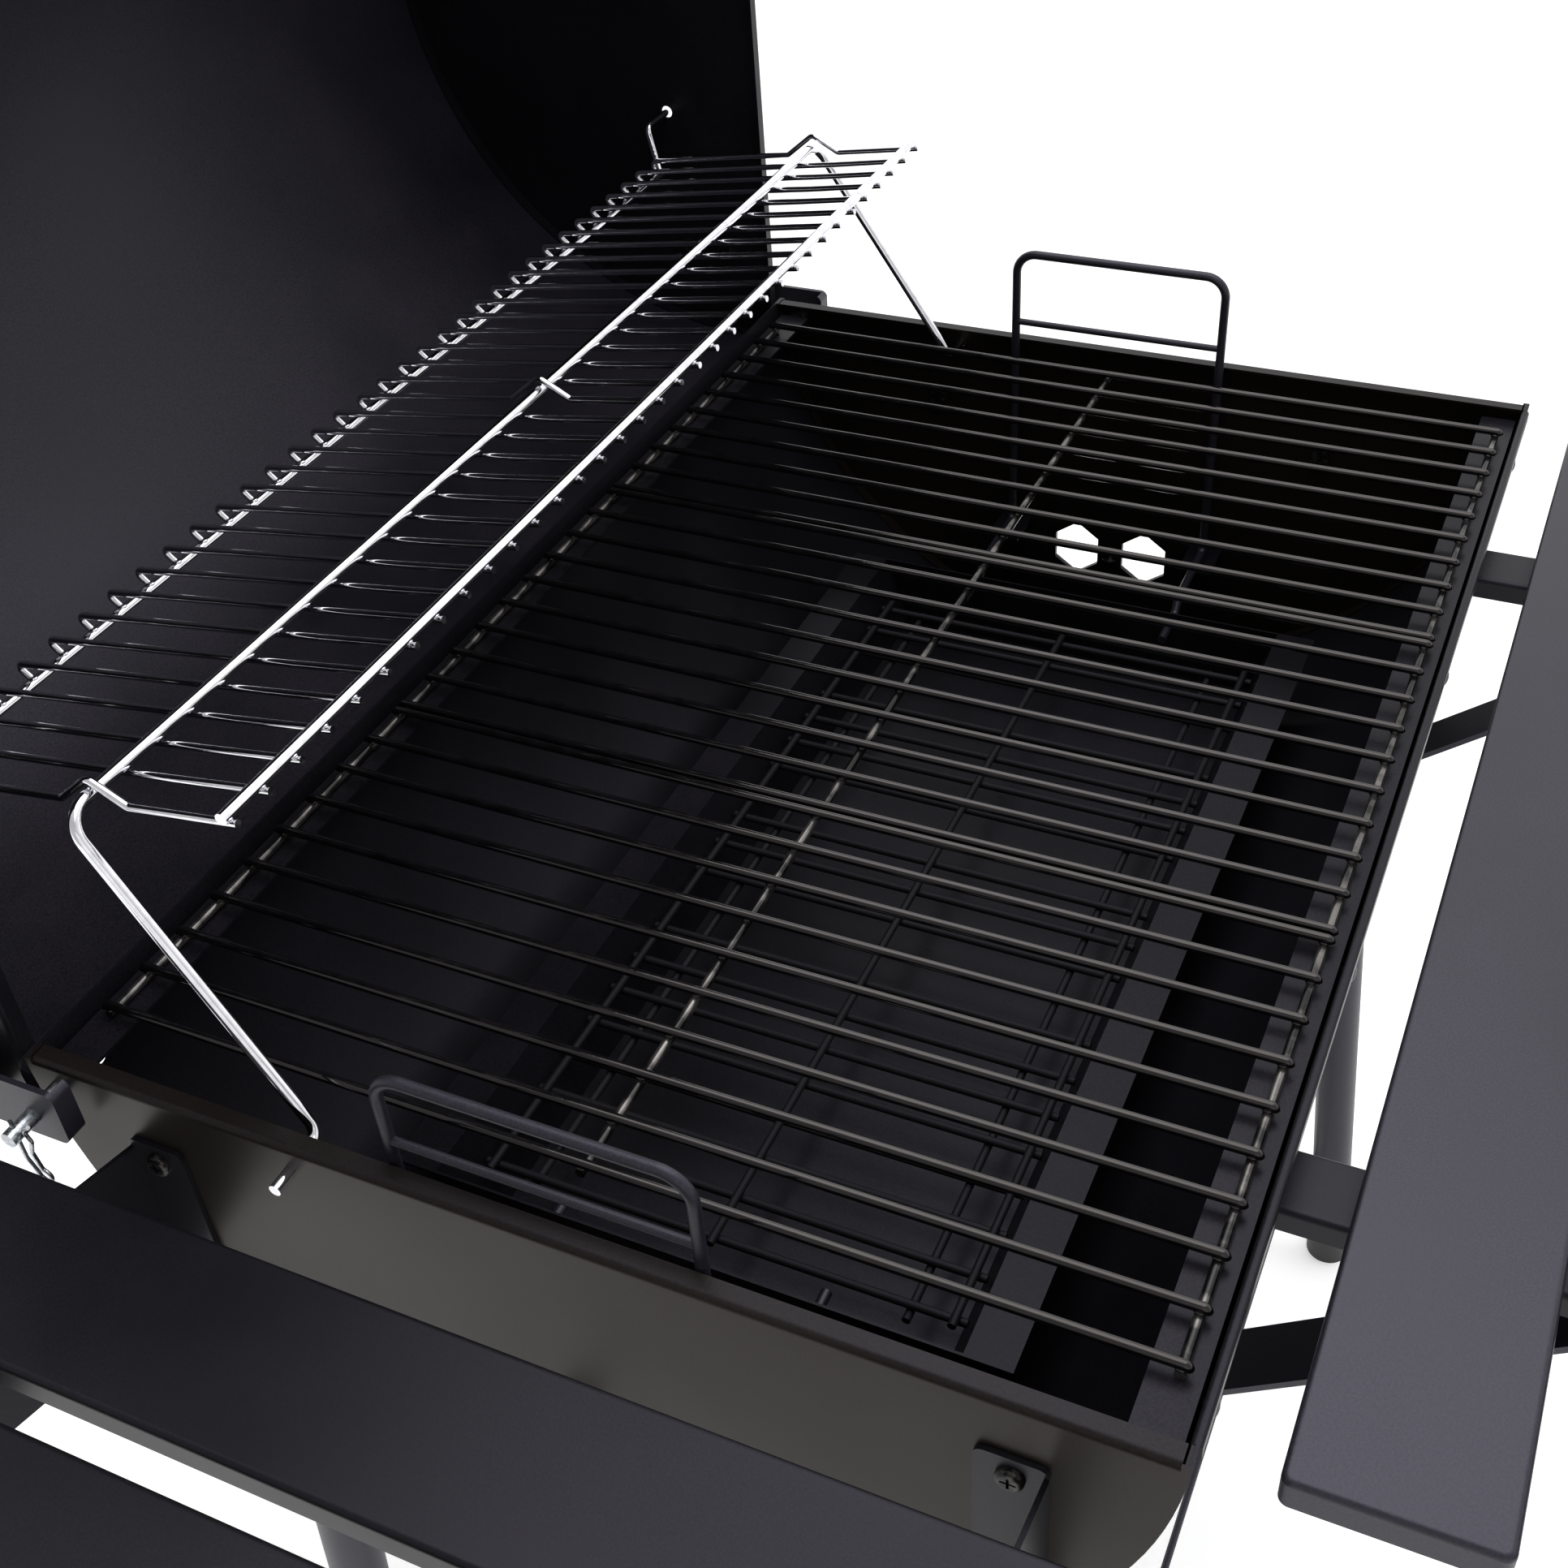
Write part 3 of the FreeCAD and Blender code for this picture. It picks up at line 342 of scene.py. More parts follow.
def node_tree(name, inputs):
    """An empty geometry tree with named inputs; returns the tree and the sockets that hold them."""
    tree = bpy.data.node_groups.new(name, "GeometryNodeTree")
    tree.interface.new_socket("Geometry", in_out="INPUT", socket_type="NodeSocketGeometry")
    for label, kind in inputs:
        tree.interface.new_socket(label, in_out="INPUT", socket_type=kind)
    tree.interface.new_socket("Geometry", in_out="OUTPUT", socket_type="NodeSocketGeometry")
    given = add(tree, "NodeGroupInput").outputs
    return tree, given


def close_tree(tree, geometry, material):
    """End a tree in Realize Instances, Set Material and the output."""
    realized = add(tree, "GeometryNodeRealizeInstances", {"Geometry": geometry}).outputs[0]
    painted = add(tree, "GeometryNodeSetMaterial", {"Geometry": realized, "Material": material}).outputs[0]
    add(tree, "NodeGroupOutput", {"Geometry": painted})


def evaluate(tree, base_mesh, values):
    """Run a tree on a mesh with its named inputs, and return the result as a plain mesh."""
    holder = bpy.data.objects.new(tree.name, base_mesh)
    bpy.context.scene.collection.objects.link(holder)
    modifier = holder.modifiers.new(tree.name, "NODES")
    modifier.node_group = tree
    for item in tree.interface.items_tree:
        if item.in_out == "INPUT" and item.name in values:
            modifier[item.identifier] = values[item.name]
    evaluated = holder.evaluated_get(bpy.context.evaluated_depsgraph_get())
    result = bpy.data.meshes.new_from_object(evaluated)
    holder.modifiers.remove(modifier)
    bpy.data.objects.remove(holder)
    return result


def path_mesh(points):
    """A mesh of edges through the points, as the line that a wire follows."""
    mesh = bpy.data.meshes.new("path")
    mesh.from_pydata([tuple(p) for p in points], [(i, i + 1) for i in range(len(points) - 1)], [])
    return mesh


def wire_row_tree():
    """A bent wire swept along the input edges, and repeated at even steps."""
    tree, given = node_tree("Bent wire row", [
        ("Wire Radius", "NodeSocketFloat"), ("Bend Radius", "NodeSocketFloat"), ("Count", "NodeSocketInt"),
        ("Step", "NodeSocketVector"), ("Sides", "NodeSocketInt"), ("Finish", "NodeSocketMaterial")])
    line = add(tree, "GeometryNodeMeshToCurve", {"Mesh": given["Geometry"]}).outputs[0]
    bent = add(tree, "GeometryNodeFilletCurve", {"Curve": line, "Radius": given["Bend Radius"], "Count": 5,
                                                 "Limit Radius": True}, mode="POLY").outputs[0]
    circle = add(tree, "GeometryNodeCurvePrimitiveCircle", {"Resolution": given["Sides"],
                                                            "Radius": given["Wire Radius"]}).outputs[0]
    wire = add(tree, "GeometryNodeCurveToMesh", {"Curve": bent, "Profile Curve": circle,
                                                 "Fill Caps": True}).outputs[0]
    smooth = add(tree, "GeometryNodeSetShadeSmooth", {"Geometry": wire}).outputs[0]
    points = add(tree, "GeometryNodeMeshLine", {"Count": given["Count"], "Offset": given["Step"],
                                                "Start Location": (0, 0, 0)}).outputs[0]
    placed = add(tree, "GeometryNodeInstanceOnPoints", {"Points": points, "Instance": smooth}).outputs[0]
    close_tree(tree, placed, given["Finish"])
    return tree


def beads_tree():
    """Small weld beads: a flattened ball on each input point."""
    tree, given = node_tree("Beads on points", [
        ("Size", "NodeSocketVector"), ("Finish", "NodeSocketMaterial")])
    ball = add(tree, "GeometryNodeMeshUVSphere", {"Segments": 12, "Rings": 8, "Radius": 1.0}).outputs[0]
    smooth = add(tree, "GeometryNodeSetShadeSmooth", {"Geometry": ball}).outputs[0]
    sized = add(tree, "GeometryNodeTransform", {"Geometry": smooth, "Scale": given["Size"]}).outputs[0]
    placed = add(tree, "GeometryNodeInstanceOnPoints", {"Points": given["Geometry"],
                                                        "Instance": sized}).outputs[0]
    close_tree(tree, placed, given["Finish"])
    return tree


def around_tree():
    """The input mesh repeated evenly round the Y axis of the origin."""
    tree, given = node_tree("Repeats round an axle", [
        ("Count", "NodeSocketInt"), ("Finish", "NodeSocketMaterial")])
    points = add(tree, "GeometryNodeMeshLine", {"Count": given["Count"], "Offset": (0, 0, 0)}).outputs[0]
    index = add(tree, "GeometryNodeInputIndex").outputs[0]
    share = add(tree, "ShaderNodeMath", {0: index, 1: given["Count"]}, operation="DIVIDE").outputs[0]
    angle = add(tree, "ShaderNodeMath", {0: share, 1: math.tau}, operation="MULTIPLY").outputs[0]
    turn = add(tree, "ShaderNodeCombineXYZ", {"Y": angle}).outputs[0]
    placed = add(tree, "GeometryNodeInstanceOnPoints", {"Points": points, "Instance": given["Geometry"],
                                                        "Rotation": turn}).outputs[0]
    close_tree(tree, placed, given["Finish"])
    return tree


trees = {}


def tree_of(maker):
    """A geometry tree, built once."""
    if maker not in trees:
        trees[maker] = maker()
    return trees[maker]


def wires(path, radius, bend, finish, count=1, step=(0, 0, 0), sides=12):
    """A row of like wires as a mesh."""
    return evaluate(tree_of(wire_row_tree), path_mesh(path), {
        "Wire Radius": radius, "Bend Radius": bend, "Count": count, "Step": step, "Sides": sides,
        "Finish": finish_of(finish)})


def beads(points, size, finish):
    """Like beads on points as a mesh."""
    return evaluate(tree_of(beads_tree), path_mesh(points), {"Size": size, "Finish": finish_of(finish)})


def turned_to(start, axis, centre):
    """The matrix that turns one direction to another and moves the origin to the centre."""
    return Matrix.Translation(centre) @ start.rotation_difference(axis).to_matrix().to_4x4()


def around(mesh, count, finish, axis, centre):
    """A mesh repeated round a line along the axis through the centre."""
    result = evaluate(tree_of(around_tree), mesh, {"Count": count, "Finish": finish_of(finish)})
    result.transform(turned_to(Vector((0, 1, 0)), axis, centre))
    return result


def joined(name, meshes):
    """One object at the origin from several meshes, keeping each one's material."""
    result = bmesh.new()
    materials = []
    for mesh in meshes:
        slot_of = {}
        for i, material in enumerate(mesh.materials):
            if material not in materials:
                materials.append(material)
            slot_of[i] = materials.index(material)
        start = len(result.faces)
        result.from_mesh(mesh)
        result.faces.ensure_lookup_table()
        for face in result.faces[start:]:
            face.material_index = slot_of.get(face.material_index, 0)
    mesh = bpy.data.meshes.new(name)
    result.to_mesh(mesh)
    result.free()
    for material in materials:
        mesh.materials.append(material)
    piece = bpy.data.objects.new(name, mesh)
    bpy.context.scene.collection.objects.link(piece)
    return piece


def lathe(profile, steps, finish, axis, centre, smooth=True):
    """A closed solid turned about a line: the profile is (distance from the line, height along it)."""
    work = bmesh.new()
    rings = []
    for step in range(steps):
        angle = math.tau * step / steps
        rings.append([work.verts.new((r * math.cos(angle), r * math.sin(angle), h)) for r, h in profile])
    for ring, after in zip(rings, rings[1:] + rings[:1]):
        for i in range(len(profile)):
            j = (i + 1) % len(profile)
            work.faces.new((ring[i], after[i], after[j], ring[j]))
    bmesh.ops.remove_doubles(work, verts=work.verts, dist=1e-7)
    bmesh.ops.dissolve_degenerate(work, edges=work.edges, dist=1e-7)
    bmesh.ops.recalc_face_normals(work, faces=work.faces)
    for face in work.faces:
        face.smooth = smooth
    mesh = bpy.data.meshes.new("lathe")
    work.to_mesh(mesh)
    work.free()
    mesh.materials.append(finish_of(finish))
    mesh.transform(turned_to(Vector((0, 0, 1)), axis, centre))
    return mesh


def attach(piece, body, slot, *nodes):
    """Fix a finished piece to its body, and hide the CAD nodes it stands for."""
    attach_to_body(piece, body)
    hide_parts(*nodes)


def coat_nodes(finish, slot, *names):
    """Give CAD nodes their finish."""
    for name in names:
        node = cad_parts[name]
        node.data.materials.clear()
        node.data.materials.append(finish_of(finish))


def at(x, y, z):
    """A point in millimetres from the middle of the rim plane, in the frame."""
    return MIDDLE + Vector((x, y, z)) * MM


# ---------------------------------------------------------------- sizes and colours a user would change

class GrillWires(bpy.types.PropertyGroup):
    """Sizes of the grill's wires."""
    grate_wire: bpy.props.FloatProperty(
        name="Grate wire", description="Radius of the cooking grates' wires", default=2.0 * MM,
        unit="LENGTH")
    grate_count: bpy.props.IntProperty(
        name="Wires to a grate", description="How many wires each cooking grate has", default=10, min=2)
    grate_pitch: bpy.props.FloatProperty(
        name="Grate pitch", description="From one grate wire to the next", default=22.9 * MM, unit="LENGTH")
    rack_wire: bpy.props.FloatProperty(
        name="Rack wire", description="Radius of the warming rack's wires", default=1.6 * MM, unit="LENGTH")
    rack_count: bpy.props.IntProperty(
        name="Rack wires", description="How many wires the warming rack has", default=35, min=3)
    lower_count: bpy.props.IntProperty(
        name="Lower rack wires", description="How many wires run along the lower rack", default=11, min=2)
    charcoal_count: bpy.props.IntProperty(
        name="Charcoal grate wires", description="How many wires cross the charcoal grate", default=21,
        min=2)


class GrillDial(bpy.types.PropertyGroup):
    """The thermometer's dial and the tyres' tread."""
    ticks: bpy.props.IntProperty(
        name="Dial ticks", description="Marks round the thermometer's dial", default=41, min=5)
    sweep: bpy.props.FloatProperty(
        name="Dial sweep", description="The angle that the scale covers", default=math.radians(270),
        subtype="ANGLE", unit="ROTATION")
    tread_lugs: bpy.props.IntProperty(
        name="Tread lugs", description="Lugs round each tyre", default=48, min=8)


class GrillStage(bpy.types.PropertyGroup):
    """The floor, light and camera."""
    sky_colour: bpy.props.FloatVectorProperty(
        name="Sky colour", description="Colour of the surrounding light", subtype="COLOR", size=4,
        default=linear("#FFFFFF"), min=0, max=1)
    sky_strength: bpy.props.FloatProperty(
        name="Sky strength", description="Strength of the surrounding light at the right", default=1.35,
        min=0)
    top_power: bpy.props.FloatProperty(
        name="Top light", description="Power of the large light overhead", default=22.0, min=0, unit="POWER")
    side_power: bpy.props.FloatProperty(
        name="Side light", description="Power of the light on the side shelf's side", default=3.0, min=0,
        unit="POWER")
    lens: bpy.props.FloatProperty(
        name="Lens", description="Focal length of the camera", default=43.66, unit="CAMERA")


# ---------------------------------------------------------------- pieces

class GRILL_OT_finish_sheet(bpy.types.Operator):
    """Give the folded and pressed sheet parts, the tubes and the tray their black coats"""
    bl_idname = "grill.finish_sheet"
    bl_label = "Sheet Parts"

    def execute(self, context):
        coat_nodes("lid coat", "black_powder_coat", "lid_shell")
        # The barrel, lid ends and tray rests take the darker shell coat: painted shade.
        coat_nodes("shell shade coat", "black_powder_coat", "barrel_shell", "lid_end_left", "lid_end_right",
                   "tray_rests")
        # The tray and grate ledges take the darker tray coat: painted shade.
        coat_nodes("tray shade coat", "black_powder_coat", "charcoal_tray", "grate_ledge_front",
                   "grate_ledge_back")
        coat_nodes("end coat", "black_powder_coat", "end_panel_left", "end_panel_right")
        coat_nodes("side coat", "black_powder_coat", "side_slat_inner", "side_slat_middle",
                   "side_slat_outer", "side_bracket_front", "side_bracket_back", "shelf_arm_left",
                   "shelf_arm_right")
        coat_nodes("coat", "black_powder_coat", "front_slat_inner", "front_slat_outer", "shelf_struts",
                   "hinge_ear_left", "hinge_ear_right", "damper_left", "damper_right", "tray_handle_left",
                   "tray_handle_right")
        coat_nodes("coat", "black_powder_coat", "leg_front_left", "leg_front_right", "leg_back_left",
                   "leg_back_right", "leg_saddles", "leg_rails", "rack_bar", "carry_handle",
                   "lid_handle_posts")
        return {"FINISHED"}


class GRILL_OT_finish_fittings(bpy.types.Operator):
    """Give the bail, pins, axle, thermometer, feet and hubs their finishes"""
    bl_idname = "grill.finish_fittings"
    bl_label = "Fittings"

    def execute(self, context):
        coat_nodes("chrome", "chrome", "rack_support")
        coat_nodes("zinc", "zinc_steel", "hinge_pins", "axle", "thermometer_stem")
        coat_nodes("oxide", "zinc_steel", "lid_bolts", "panel_screws")
        coat_nodes("stainless", "stainless", "thermometer_case", "lid_handle_grip")
        coat_nodes("red", "needle_paint", "thermometer_needle")
        coat_nodes("glass", "gauge_glass", "thermometer_glass")
        coat_nodes("nylon", "black_plastic", "foot_caps", "axle_caps", "wheel_front_hub", "wheel_back_hub")
        return {"FINISHED"}


class GRILL_OT_cooking_grates(bpy.types.Operator):
    """Three lift-out grates of enamelled wires with turned-down tips, welded over three cross wires"""
    bl_idname = "grill.cooking_grates"
    bl_label = "Cooking Grates"

    def execute(self, context):
        sizes = context.scene.grill_wires
        r = sizes.grate_wire
        tip_bend = 3.4 * MM
        inset = 3 * MM + 0.6 * r
        weld = (r * 1.15, r * 1.3, r * 0.55)
        for side in ("left", "middle", "right"):
            node = "cooking_grate_" + side
            low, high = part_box(node)
            top = high.z - r
            under = low.z + r
            first = (low.x + high.x - sizes.grate_pitch * (sizes.grate_count - 1)) / 2
            path = [(first, low.y + r, under + r), (first, low.y + r, top), (first, high.y - r, top),
                    (first, high.y - r, under + r)]
            meshes = [wires(path, r, tip_bend, "enamel", sizes.grate_count, (sizes.grate_pitch, 0, 0))]
            cross = [low.y + inset, MIDDLE.y + 2 * MM, high.y - inset]
            for y in cross:
                # The cross wires take the enamel with painted glints.
                meshes.append(wires([(low.x, y, under), (high.x, y, under)], r, 0, "glint enamel"))
            crossings = [first + i * sizes.grate_pitch for i in range(sizes.grate_count)]
            welds = [(x, y, top - r * 0.9) for x in crossings for y in cross]
            meshes.append(beads(welds, weld, "enamel"))
            attach(joined("wire_grate_" + side, meshes), "grate_" + side, "black_enamel", node)
        return {"FINISHED"}


class GRILL_OT_warming_rack(bpy.types.Operator):
    """The chrome rack: wires welded under two rods, three of them humped over the bail, and two hooks"""
    bl_idname = "grill.warming_rack"
    bl_label = "Warming Rack"

    def execute(self, context):
        sizes = context.scene.grill_wires
        r = sizes.rack_wire
        low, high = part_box("warming_rack")
        bail_low, bail_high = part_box("rack_support")
        rod_r = 2.5 * MM
        bail_y, bail_z = bail_high.y - rod_r, bail_high.z - rod_r
        middle = MIDDLE.x + 6 * MM
        half = 316 * MM
        front_y, front_z = bail_y - 62 * MM, bail_z + 8 * MM
        rear_y, rear_z = bail_y + 104 * MM, bail_z - 29 * MM
        wire_front_z = front_z - rod_r - r + 0.5 * MM
        under_z = bail_z - rod_r - r - 0.6 * MM
        fall = (wire_front_z - under_z) / (bail_y - front_y)
        end_y = rear_y + 8 * MM
        front = (front_y - 4 * MM, wire_front_z + 4 * MM * fall)
        end = (end_y, wire_front_z - fall * (end_y - front_y))
        foot = (rear_y - 0.6 * MM, rear_z + 0.5 * MM)
        hump_z = bail_z + rod_r + r + 2.1 * MM
        reach = 16 * MM
        count = sizes.rack_count
        pitch = 2 * half / (count - 1)
        plain = [front, (front_y + 40 * MM, wire_front_z - 40 * MM * fall - 0.4 * MM), end, foot]
        # Three wires rise in a hump over the bail, and the others run straight under it.
        humped = [front, (bail_y - reach, under_z + reach * fall), (bail_y, hump_z),
                  (bail_y + reach, under_z - reach * fall), end, foot]
        centre_index = count // 2
        meshes = []
        for first in (1, centre_index + 1):
            x = middle - half + first * pitch
            path = [(x, y, z) for y, z in plain]
            meshes.append(wires(path, r, 2.2 * MM, "chrome", centre_index - 1, (pitch, 0, 0)))
        path = [(middle - half, y, z) for y, z in humped]
        meshes.append(wires(path, r, 3.2 * MM, "chrome", 3, (half, 0, 0)))
        for y, z in ((front_y, front_z), (rear_y, rear_z)):
            rod = [(middle - half - 3 * MM, y, z), (middle + half + 3 * MM, y, z)]
            meshes.append(wires(rod, rod_r, 0, "chrome", sides=20))
        hook_y, hook_z, hook_r = rear_y + 6 * MM, bail_z, 2 * MM
        for side in (-1, 1):
            start = middle + side * (half + 1 * MM)
            out = MIDDLE.x + side * 357 * MM
            hook = [(start, rear_y, rear_z), (start, hook_y, hook_z), (out, hook_y, hook_z)]
            meshes.append(wires(hook, hook_r, 4 * MM, "chrome", sides=16))
        welds = [(middle - half + i * pitch, front_y, front_z - rod_r) for i in range(count)]
        welds += [(middle - half + i * pitch, rear_y, rear_z + rod_r * 0.9) for i in range(count)]
        meshes.append(beads(welds, (r * 1.3, r * 1.2, r * 0.6), "chrome"))
        attach(joined("chrome_rack", meshes), "rack", "chrome", "warming_rack")
        return {"FINISHED"}


class GRILL_OT_low_grates(bpy.types.Operator):
    """The charcoal grate in the tray and the rack between the legs"""
    bl_idname = "grill.low_grates"
    bl_label = "Charcoal Grate and Lower Rack"

    def execute(self, context):
        sizes = context.scene.grill_wires
        low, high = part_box("charcoal_grate")
        r = 2 * MM
        level = (low.z + high.z) / 2
        inset = 6 * MM
        first = low.x + inset
        last = high.x - inset
        step = (last - first) / (sizes.charcoal_count - 1)
        path = [(first, low.y, level), (first, high.y, level)]
        meshes = [wires(path, r, 0, "stove black", sizes.charcoal_count, (step, 0, 0))]
        middle_y = (low.y + high.y) / 2
        under, over = low.z + r, high.z - r
        for offset, z in ((-90, under), (90, under), (-110, over), (0, over), (110, over)):
            y = middle_y + offset * MM
            meshes.append(wires([(low.x, y, z), (high.x, y, z)], r, 0, "stove black"))
        attach(joined("charcoal_wires", meshes), "tray", "black_enamel", "charcoal_grate")

        low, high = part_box("lower_rack")
        long_r, wire_r = 2.5 * MM, 1.75 * MM
        rod_z, wire_z = low.z + long_r, high.z - wire_r
        depth = high.y - low.y - 2 * long_r
        path = [(low.x, low.y + long_r, rod_z), (high.x, low.y + long_r, rod_z)]
        meshes = [wires(path, long_r, 0, "coat", 2, (0, depth, 0))]
        half = (high.x - low.x) / 2
        crossings = [MIDDLE.x + x for x in (-half + inset, -half / 2, half / 2, half - inset)]
        for x in crossings:
            rod = [(x, low.y + long_r, rod_z), (x, high.y - long_r, rod_z)]
            meshes.append(wires(rod, long_r * 0.92, 0, "coat"))
        pitch = depth / (sizes.lower_count + 1)
        start_y = low.y + long_r + pitch
        meshes.append(wires([(low.x, start_y, wire_z), (high.x, start_y, wire_z)], wire_r, 0, "coat",
                            sizes.lower_count, (0, pitch, 0)))
        rows = [start_y + i * pitch for i in range(sizes.lower_count)]
        welds = [(x, y, wire_z - wire_r) for x in crossings for y in rows]
        meshes.append(beads(welds, (wire_r * 1.3, wire_r * 1.3, wire_r * 0.7), "coat"))
        attach(joined("lower_rack_wires", meshes), "grill", "black_powder_coat", "lower_rack")
        return {"FINISHED"}


class GRILL_OT_rivets(bpy.types.Operator):
    """Domed rivets in place of the plain ones, along each one's own line"""
    bl_idname = "grill.rivets"
    bl_label = "Rivets"

    def execute(self, context):
        heads = []
        for low, high in islands("rivets"):
            size = high - low
            axis = max(range(3), key=lambda i: size[i])
            wide = max(size[i] for i in range(3) if i != axis)
            middle = (low + high) / 2
            direction = Vector([1.0 if i == axis else 0.0 for i in range(3)])
            half = size[axis] / 2
            r = wide / 2
            dome = [(0, half), (r * 0.5, half - 0.25 * MM), (r * 0.85, half - 0.7 * MM),
                    (r, half - 1.3 * MM), (r, half - 1.6 * MM), (r * 0.5, half - 1.7 * MM)]
            profile = dome + [(p, -h) for p, h in reversed(dome)]
            # The rivet heads take the darker shell coat, which holds painted shade.
            heads.append(lathe(profile, 20, "shell shade coat", direction, middle))
        if not heads:
            raise RuntimeError("the rivets have no solids")
        attach(joined("domed_rivets", heads), "grill", "zinc_steel", "rivets")
        return {"FINISHED"}


class GRILL_OT_hairpin_clips(bpy.types.Operator):
    """Spring clips: one leg goes through the hinge pin, and the waved one springs over it"""
    bl_idname = "grill.hairpin_clips"
    bl_label = "Hairpin Clips"

    def execute(self, context):
        meshes = []
        pin_low, pin_high = islands("hinge_pins")[0]
        pin_y, pin_z = (pin_low.y + pin_high.y) / 2, (pin_low.z + pin_high.z) / 2
        r = 0.9 * MM
        for low, high in islands("hairpin_clips"):
            x = (low.x + high.x) / 2
            top = pin_z + 7 * MM
            loop = Vector((x, low.y + 3.6 * MM, low.z + 4.2 * MM))
            loop_r = 3.2 * MM
            path = [Vector((x, pin_y, top)), Vector((x, pin_y, pin_z - 14 * MM))]
            for degrees in range(0, -271, -30):
                turn = math.radians(degrees)
                path.append(loop + Vector((0, loop_r * math.cos(turn), loop_r * math.sin(turn))))
            for y, z in ((-4.6, -9), (-7.2, -2), (-4.7, 4)):
                path.append(Vector((x, pin_y + y * MM, pin_z + z * MM)))
            path.append(Vector((x, low.y + r, top)))
            meshes.append(wires(path, r, 2.5 * MM, "zinc", sides=10))
        attach(joined("spring_clips", meshes), "grill", "zinc_steel", "hairpin_clips")
        return {"FINISHED"}


class GRILL_OT_dial(bpy.types.Operator):
    """The thermometer's white dial with its ring of ticks"""
    bl_idname = "grill.dial"
    bl_label = "Thermometer Dial"

    def execute(self, context):
        sizes = context.scene.grill_dial
        low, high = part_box("thermometer_dial")
        glass_low, glass_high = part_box("thermometer_glass")
        middle = (low + high) / 2
        facing = ((glass_low + glass_high) / 2 - middle).normalized()
        r = 33.8 * MM
        half = 0.5 * MM
        face = lathe([(0, -half), (0, half), (r, half), (r, -half)], 64, "dial", facing, middle, False)
        upright = turned_to(Vector((0, 0, 1)), facing, middle)
        margin = 3 * MM
        ticks = bmesh.new()
        for i in range(sizes.ticks):
            angle = -sizes.sweep / 2 + sizes.sweep * i / (sizes.ticks - 1)
            wide, long = (0.9 * MM, 6 * MM) if i % 5 == 0 else (0.5 * MM, 3.4 * MM)
            place = upright @ Matrix.Rotation(angle, 4, "Z")
            place = place @ Matrix.Translation((0, r - margin - long / 2, half))
            bmesh.ops.create_cube(ticks, size=1, matrix=place @ Matrix.Diagonal((wide, long, 0.12 * MM, 1)))
        mesh = bpy.data.meshes.new("ticks")
        ticks.to_mesh(mesh)
        ticks.free()
        mesh.materials.append(finish_of("ink"))
        attach(joined("printed_dial", [face, mesh]), "lid", "dial_face", "thermometer_dial")
        return {"FINISHED"}


class GRILL_OT_tyres(bpy.types.Operator):
    """Solid rubber tyres with a groove, rounded shoulders and cross lugs"""
    bl_idname = "grill.tyres"
    bl_label = "Tyres"

    def execute(self, context):
        lugs = context.scene.grill_dial.tread_lugs
        for side in ("front", "back"):
            node = "wheel_" + side + "_tyre"
            low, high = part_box(node)
            middle = (low + high) / 2
            outer = (high.z - low.z) / 2
            inner = outer - 16 * MM
            half = (high.y - low.y) / 2
            base = outer - 2.2 * MM
            shoulder = [(inner, half), (outer - 8 * MM, half), (outer - 4.5 * MM, half - 1.2 * MM),
                        (base, half - 4.5 * MM), (base, 2 * MM), (base - 2 * MM, 1.2 * MM)]
            profile = shoulder + [(p, -h) for p, h in reversed(shoulder)]
            tyre = lathe(profile, 72, "rubber", Vector((0, 1, 0)), middle)
            lug = bmesh.new()
            wide = math.tau * outer / lugs * 0.55
            for sign in (-1, 1):
                place = Matrix.Translation((0, sign * (half + 1 * MM) / 2, base + 0.2 * MM))
                place = place @ Matrix.Diagonal((wide, half - 6.5 * MM, 3.8 * MM, 1))
                bmesh.ops.create_cube(lug, size=1, matrix=place)
            mesh = bpy.data.meshes.new("lug")
            lug.to_mesh(mesh)
            lug.free()
            tread = around(mesh, lugs, "rubber", Vector((0, 1, 0)), middle)
            attach(joined("rubber_tyre_" + side, [tyre, tread]), "wheel_" + side, "wheel_rubber", node)
        return {"FINISHED"}


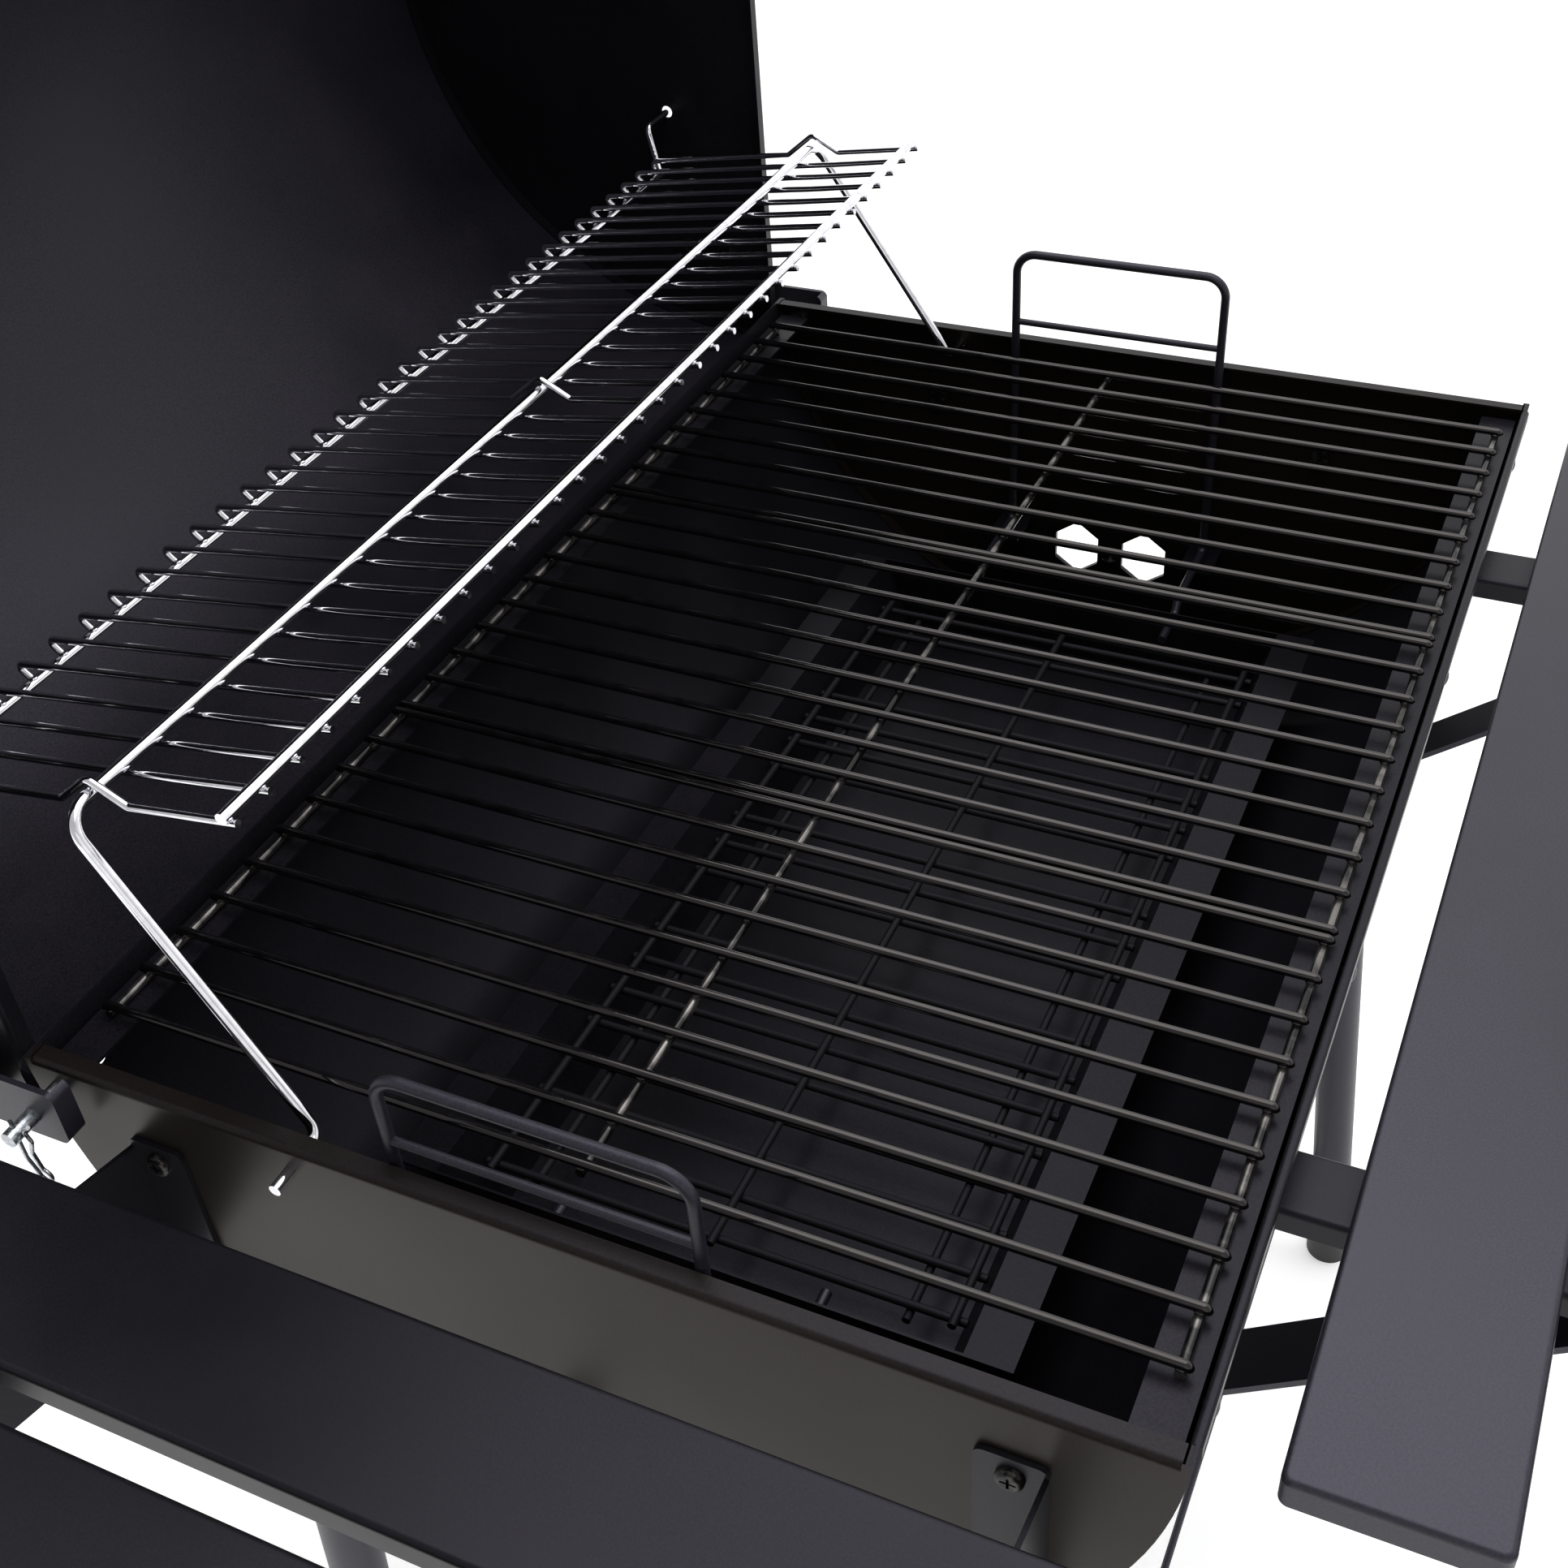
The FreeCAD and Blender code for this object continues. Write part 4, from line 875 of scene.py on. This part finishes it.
class GRILL_OT_stage(bpy.types.Operator):
    """A pale floor, soft light from overhead and from the side, and the camera over the side shelf"""
    bl_idname = "grill.stage"
    bl_label = "Floor, Light and Camera"

    def execute(self, context):
        settings = context.scene.grill_stage
        reach = 30.0
        corners = [(-reach, -reach, 0), (reach, -reach, 0), (reach, reach, 0), (-reach, reach, 0)]
        floor_mesh = bpy.data.meshes.new("floor")
        floor_mesh.from_pydata(corners, [], [(0, 1, 2, 3)])
        floor_mesh.materials.append(finish_of("floor"))
        floor = bpy.data.objects.new("floor", floor_mesh)
        context.scene.collection.objects.link(floor)

        world = bpy.data.worlds.new("pale studio")
        world.use_nodes = True
        background = world.node_tree.nodes["Background"]
        background.inputs["Color"].default_value = settings.sky_colour
        direction = add(world.node_tree, "ShaderNodeTexCoord").outputs["Generated"]
        along = add(world.node_tree, "ShaderNodeSeparateXYZ", {"Vector": direction}).outputs["X"]
        # The surrounding light is dimmer on the side shelf's side.
        left_share = 0.45
        strength = add(world.node_tree, "ShaderNodeMapRange", {
            "Value": along, "From Min": -0.5, "From Max": 0.6, "To Min": settings.sky_strength * left_share,
            "To Max": settings.sky_strength}).outputs[0]
        world.node_tree.links.new(strength, background.inputs["Strength"])
        context.scene.world = world
        context.scene.view_settings.view_transform = "Standard"

        for name, place, size, power in (
                ("overhead softbox", at(250, -100, 1500), 1.6, settings.top_power),
                ("side softbox", at(-1700, -900, 700), 1.4, settings.side_power)):
            lamp = bpy.data.lights.new(name, "AREA")
            lamp.size = size
            lamp.energy = power
            holder = bpy.data.objects.new(name, lamp)
            holder.location = place
            holder.rotation_mode = "QUATERNION"
            holder.rotation_quaternion = (MIDDLE - place).to_track_quat("-Z", "Y")
            context.scene.collection.objects.link(holder)

        lens = bpy.data.cameras.new("camera")
        lens.lens = settings.lens
        lens.sensor_width = 36.0
        lens.clip_start = 0.01
        lens.clip_end = 200.0
        camera = bpy.data.objects.new("camera", lens)
        camera.location = at(*CAMERA_PLACE)
        camera.rotation_mode = "QUATERNION"
        looking = CAMERA_FACING.to_track_quat("-Z", "Y")
        camera.rotation_quaternion = looking @ Quaternion((0, 0, 1), CAMERA_TILT)
        context.scene.collection.objects.link(camera)
        context.scene.camera = camera
        return {"FINISHED"}


class GRILL_PT_sidebar(bpy.types.Panel):
    """Lists the grill's pieces"""
    bl_label = "Barrel Grill"
    bl_idname = "GRILL_PT_sidebar"
    bl_space_type = "VIEW_3D"
    bl_region_type = "UI"
    bl_category = "Barrel Grill"

    def draw(self, context):
        for operator in OPERATORS:
            self.layout.operator(operator.bl_idname)
        for group in (context.scene.grill_wires, context.scene.grill_dial, context.scene.grill_stage):
            box = self.layout.box()
            for name in group.__annotations__:
                box.prop(group, name)


GROUPS = {"grill_wires": GrillWires, "grill_dial": GrillDial, "grill_stage": GrillStage}
OPERATORS = (GRILL_OT_finish_sheet, GRILL_OT_finish_fittings, GRILL_OT_cooking_grates, GRILL_OT_warming_rack,
             GRILL_OT_low_grates, GRILL_OT_rivets, GRILL_OT_hairpin_clips, GRILL_OT_dial, GRILL_OT_tyres,
             GRILL_OT_stage)


def register():
    """Register the settings, the operators and the panel."""
    for name, group in GROUPS.items():
        bpy.utils.register_class(group)
        setattr(bpy.types.Scene, name, bpy.props.PointerProperty(type=group))
    for operator in OPERATORS:
        bpy.utils.register_class(operator)
    bpy.utils.register_class(GRILL_PT_sidebar)


def unregister():
    """Undo the registration, in the opposite order."""
    bpy.utils.unregister_class(GRILL_PT_sidebar)
    for operator in reversed(OPERATORS):
        bpy.utils.unregister_class(operator)
    for name, group in GROUPS.items():
        delattr(bpy.types.Scene, name)
        bpy.utils.unregister_class(group)


def main():
    """Build every piece and the stage."""
    register()
    bpy.ops.grill.finish_sheet()
    bpy.ops.grill.finish_fittings()
    bpy.ops.grill.cooking_grates()
    bpy.ops.grill.warming_rack()
    bpy.ops.grill.low_grates()
    bpy.ops.grill.rivets()
    bpy.ops.grill.hairpin_clips()
    bpy.ops.grill.dial()
    bpy.ops.grill.tyres()
    bpy.ops.grill.stage()


if __name__ == "__main__":
    main()
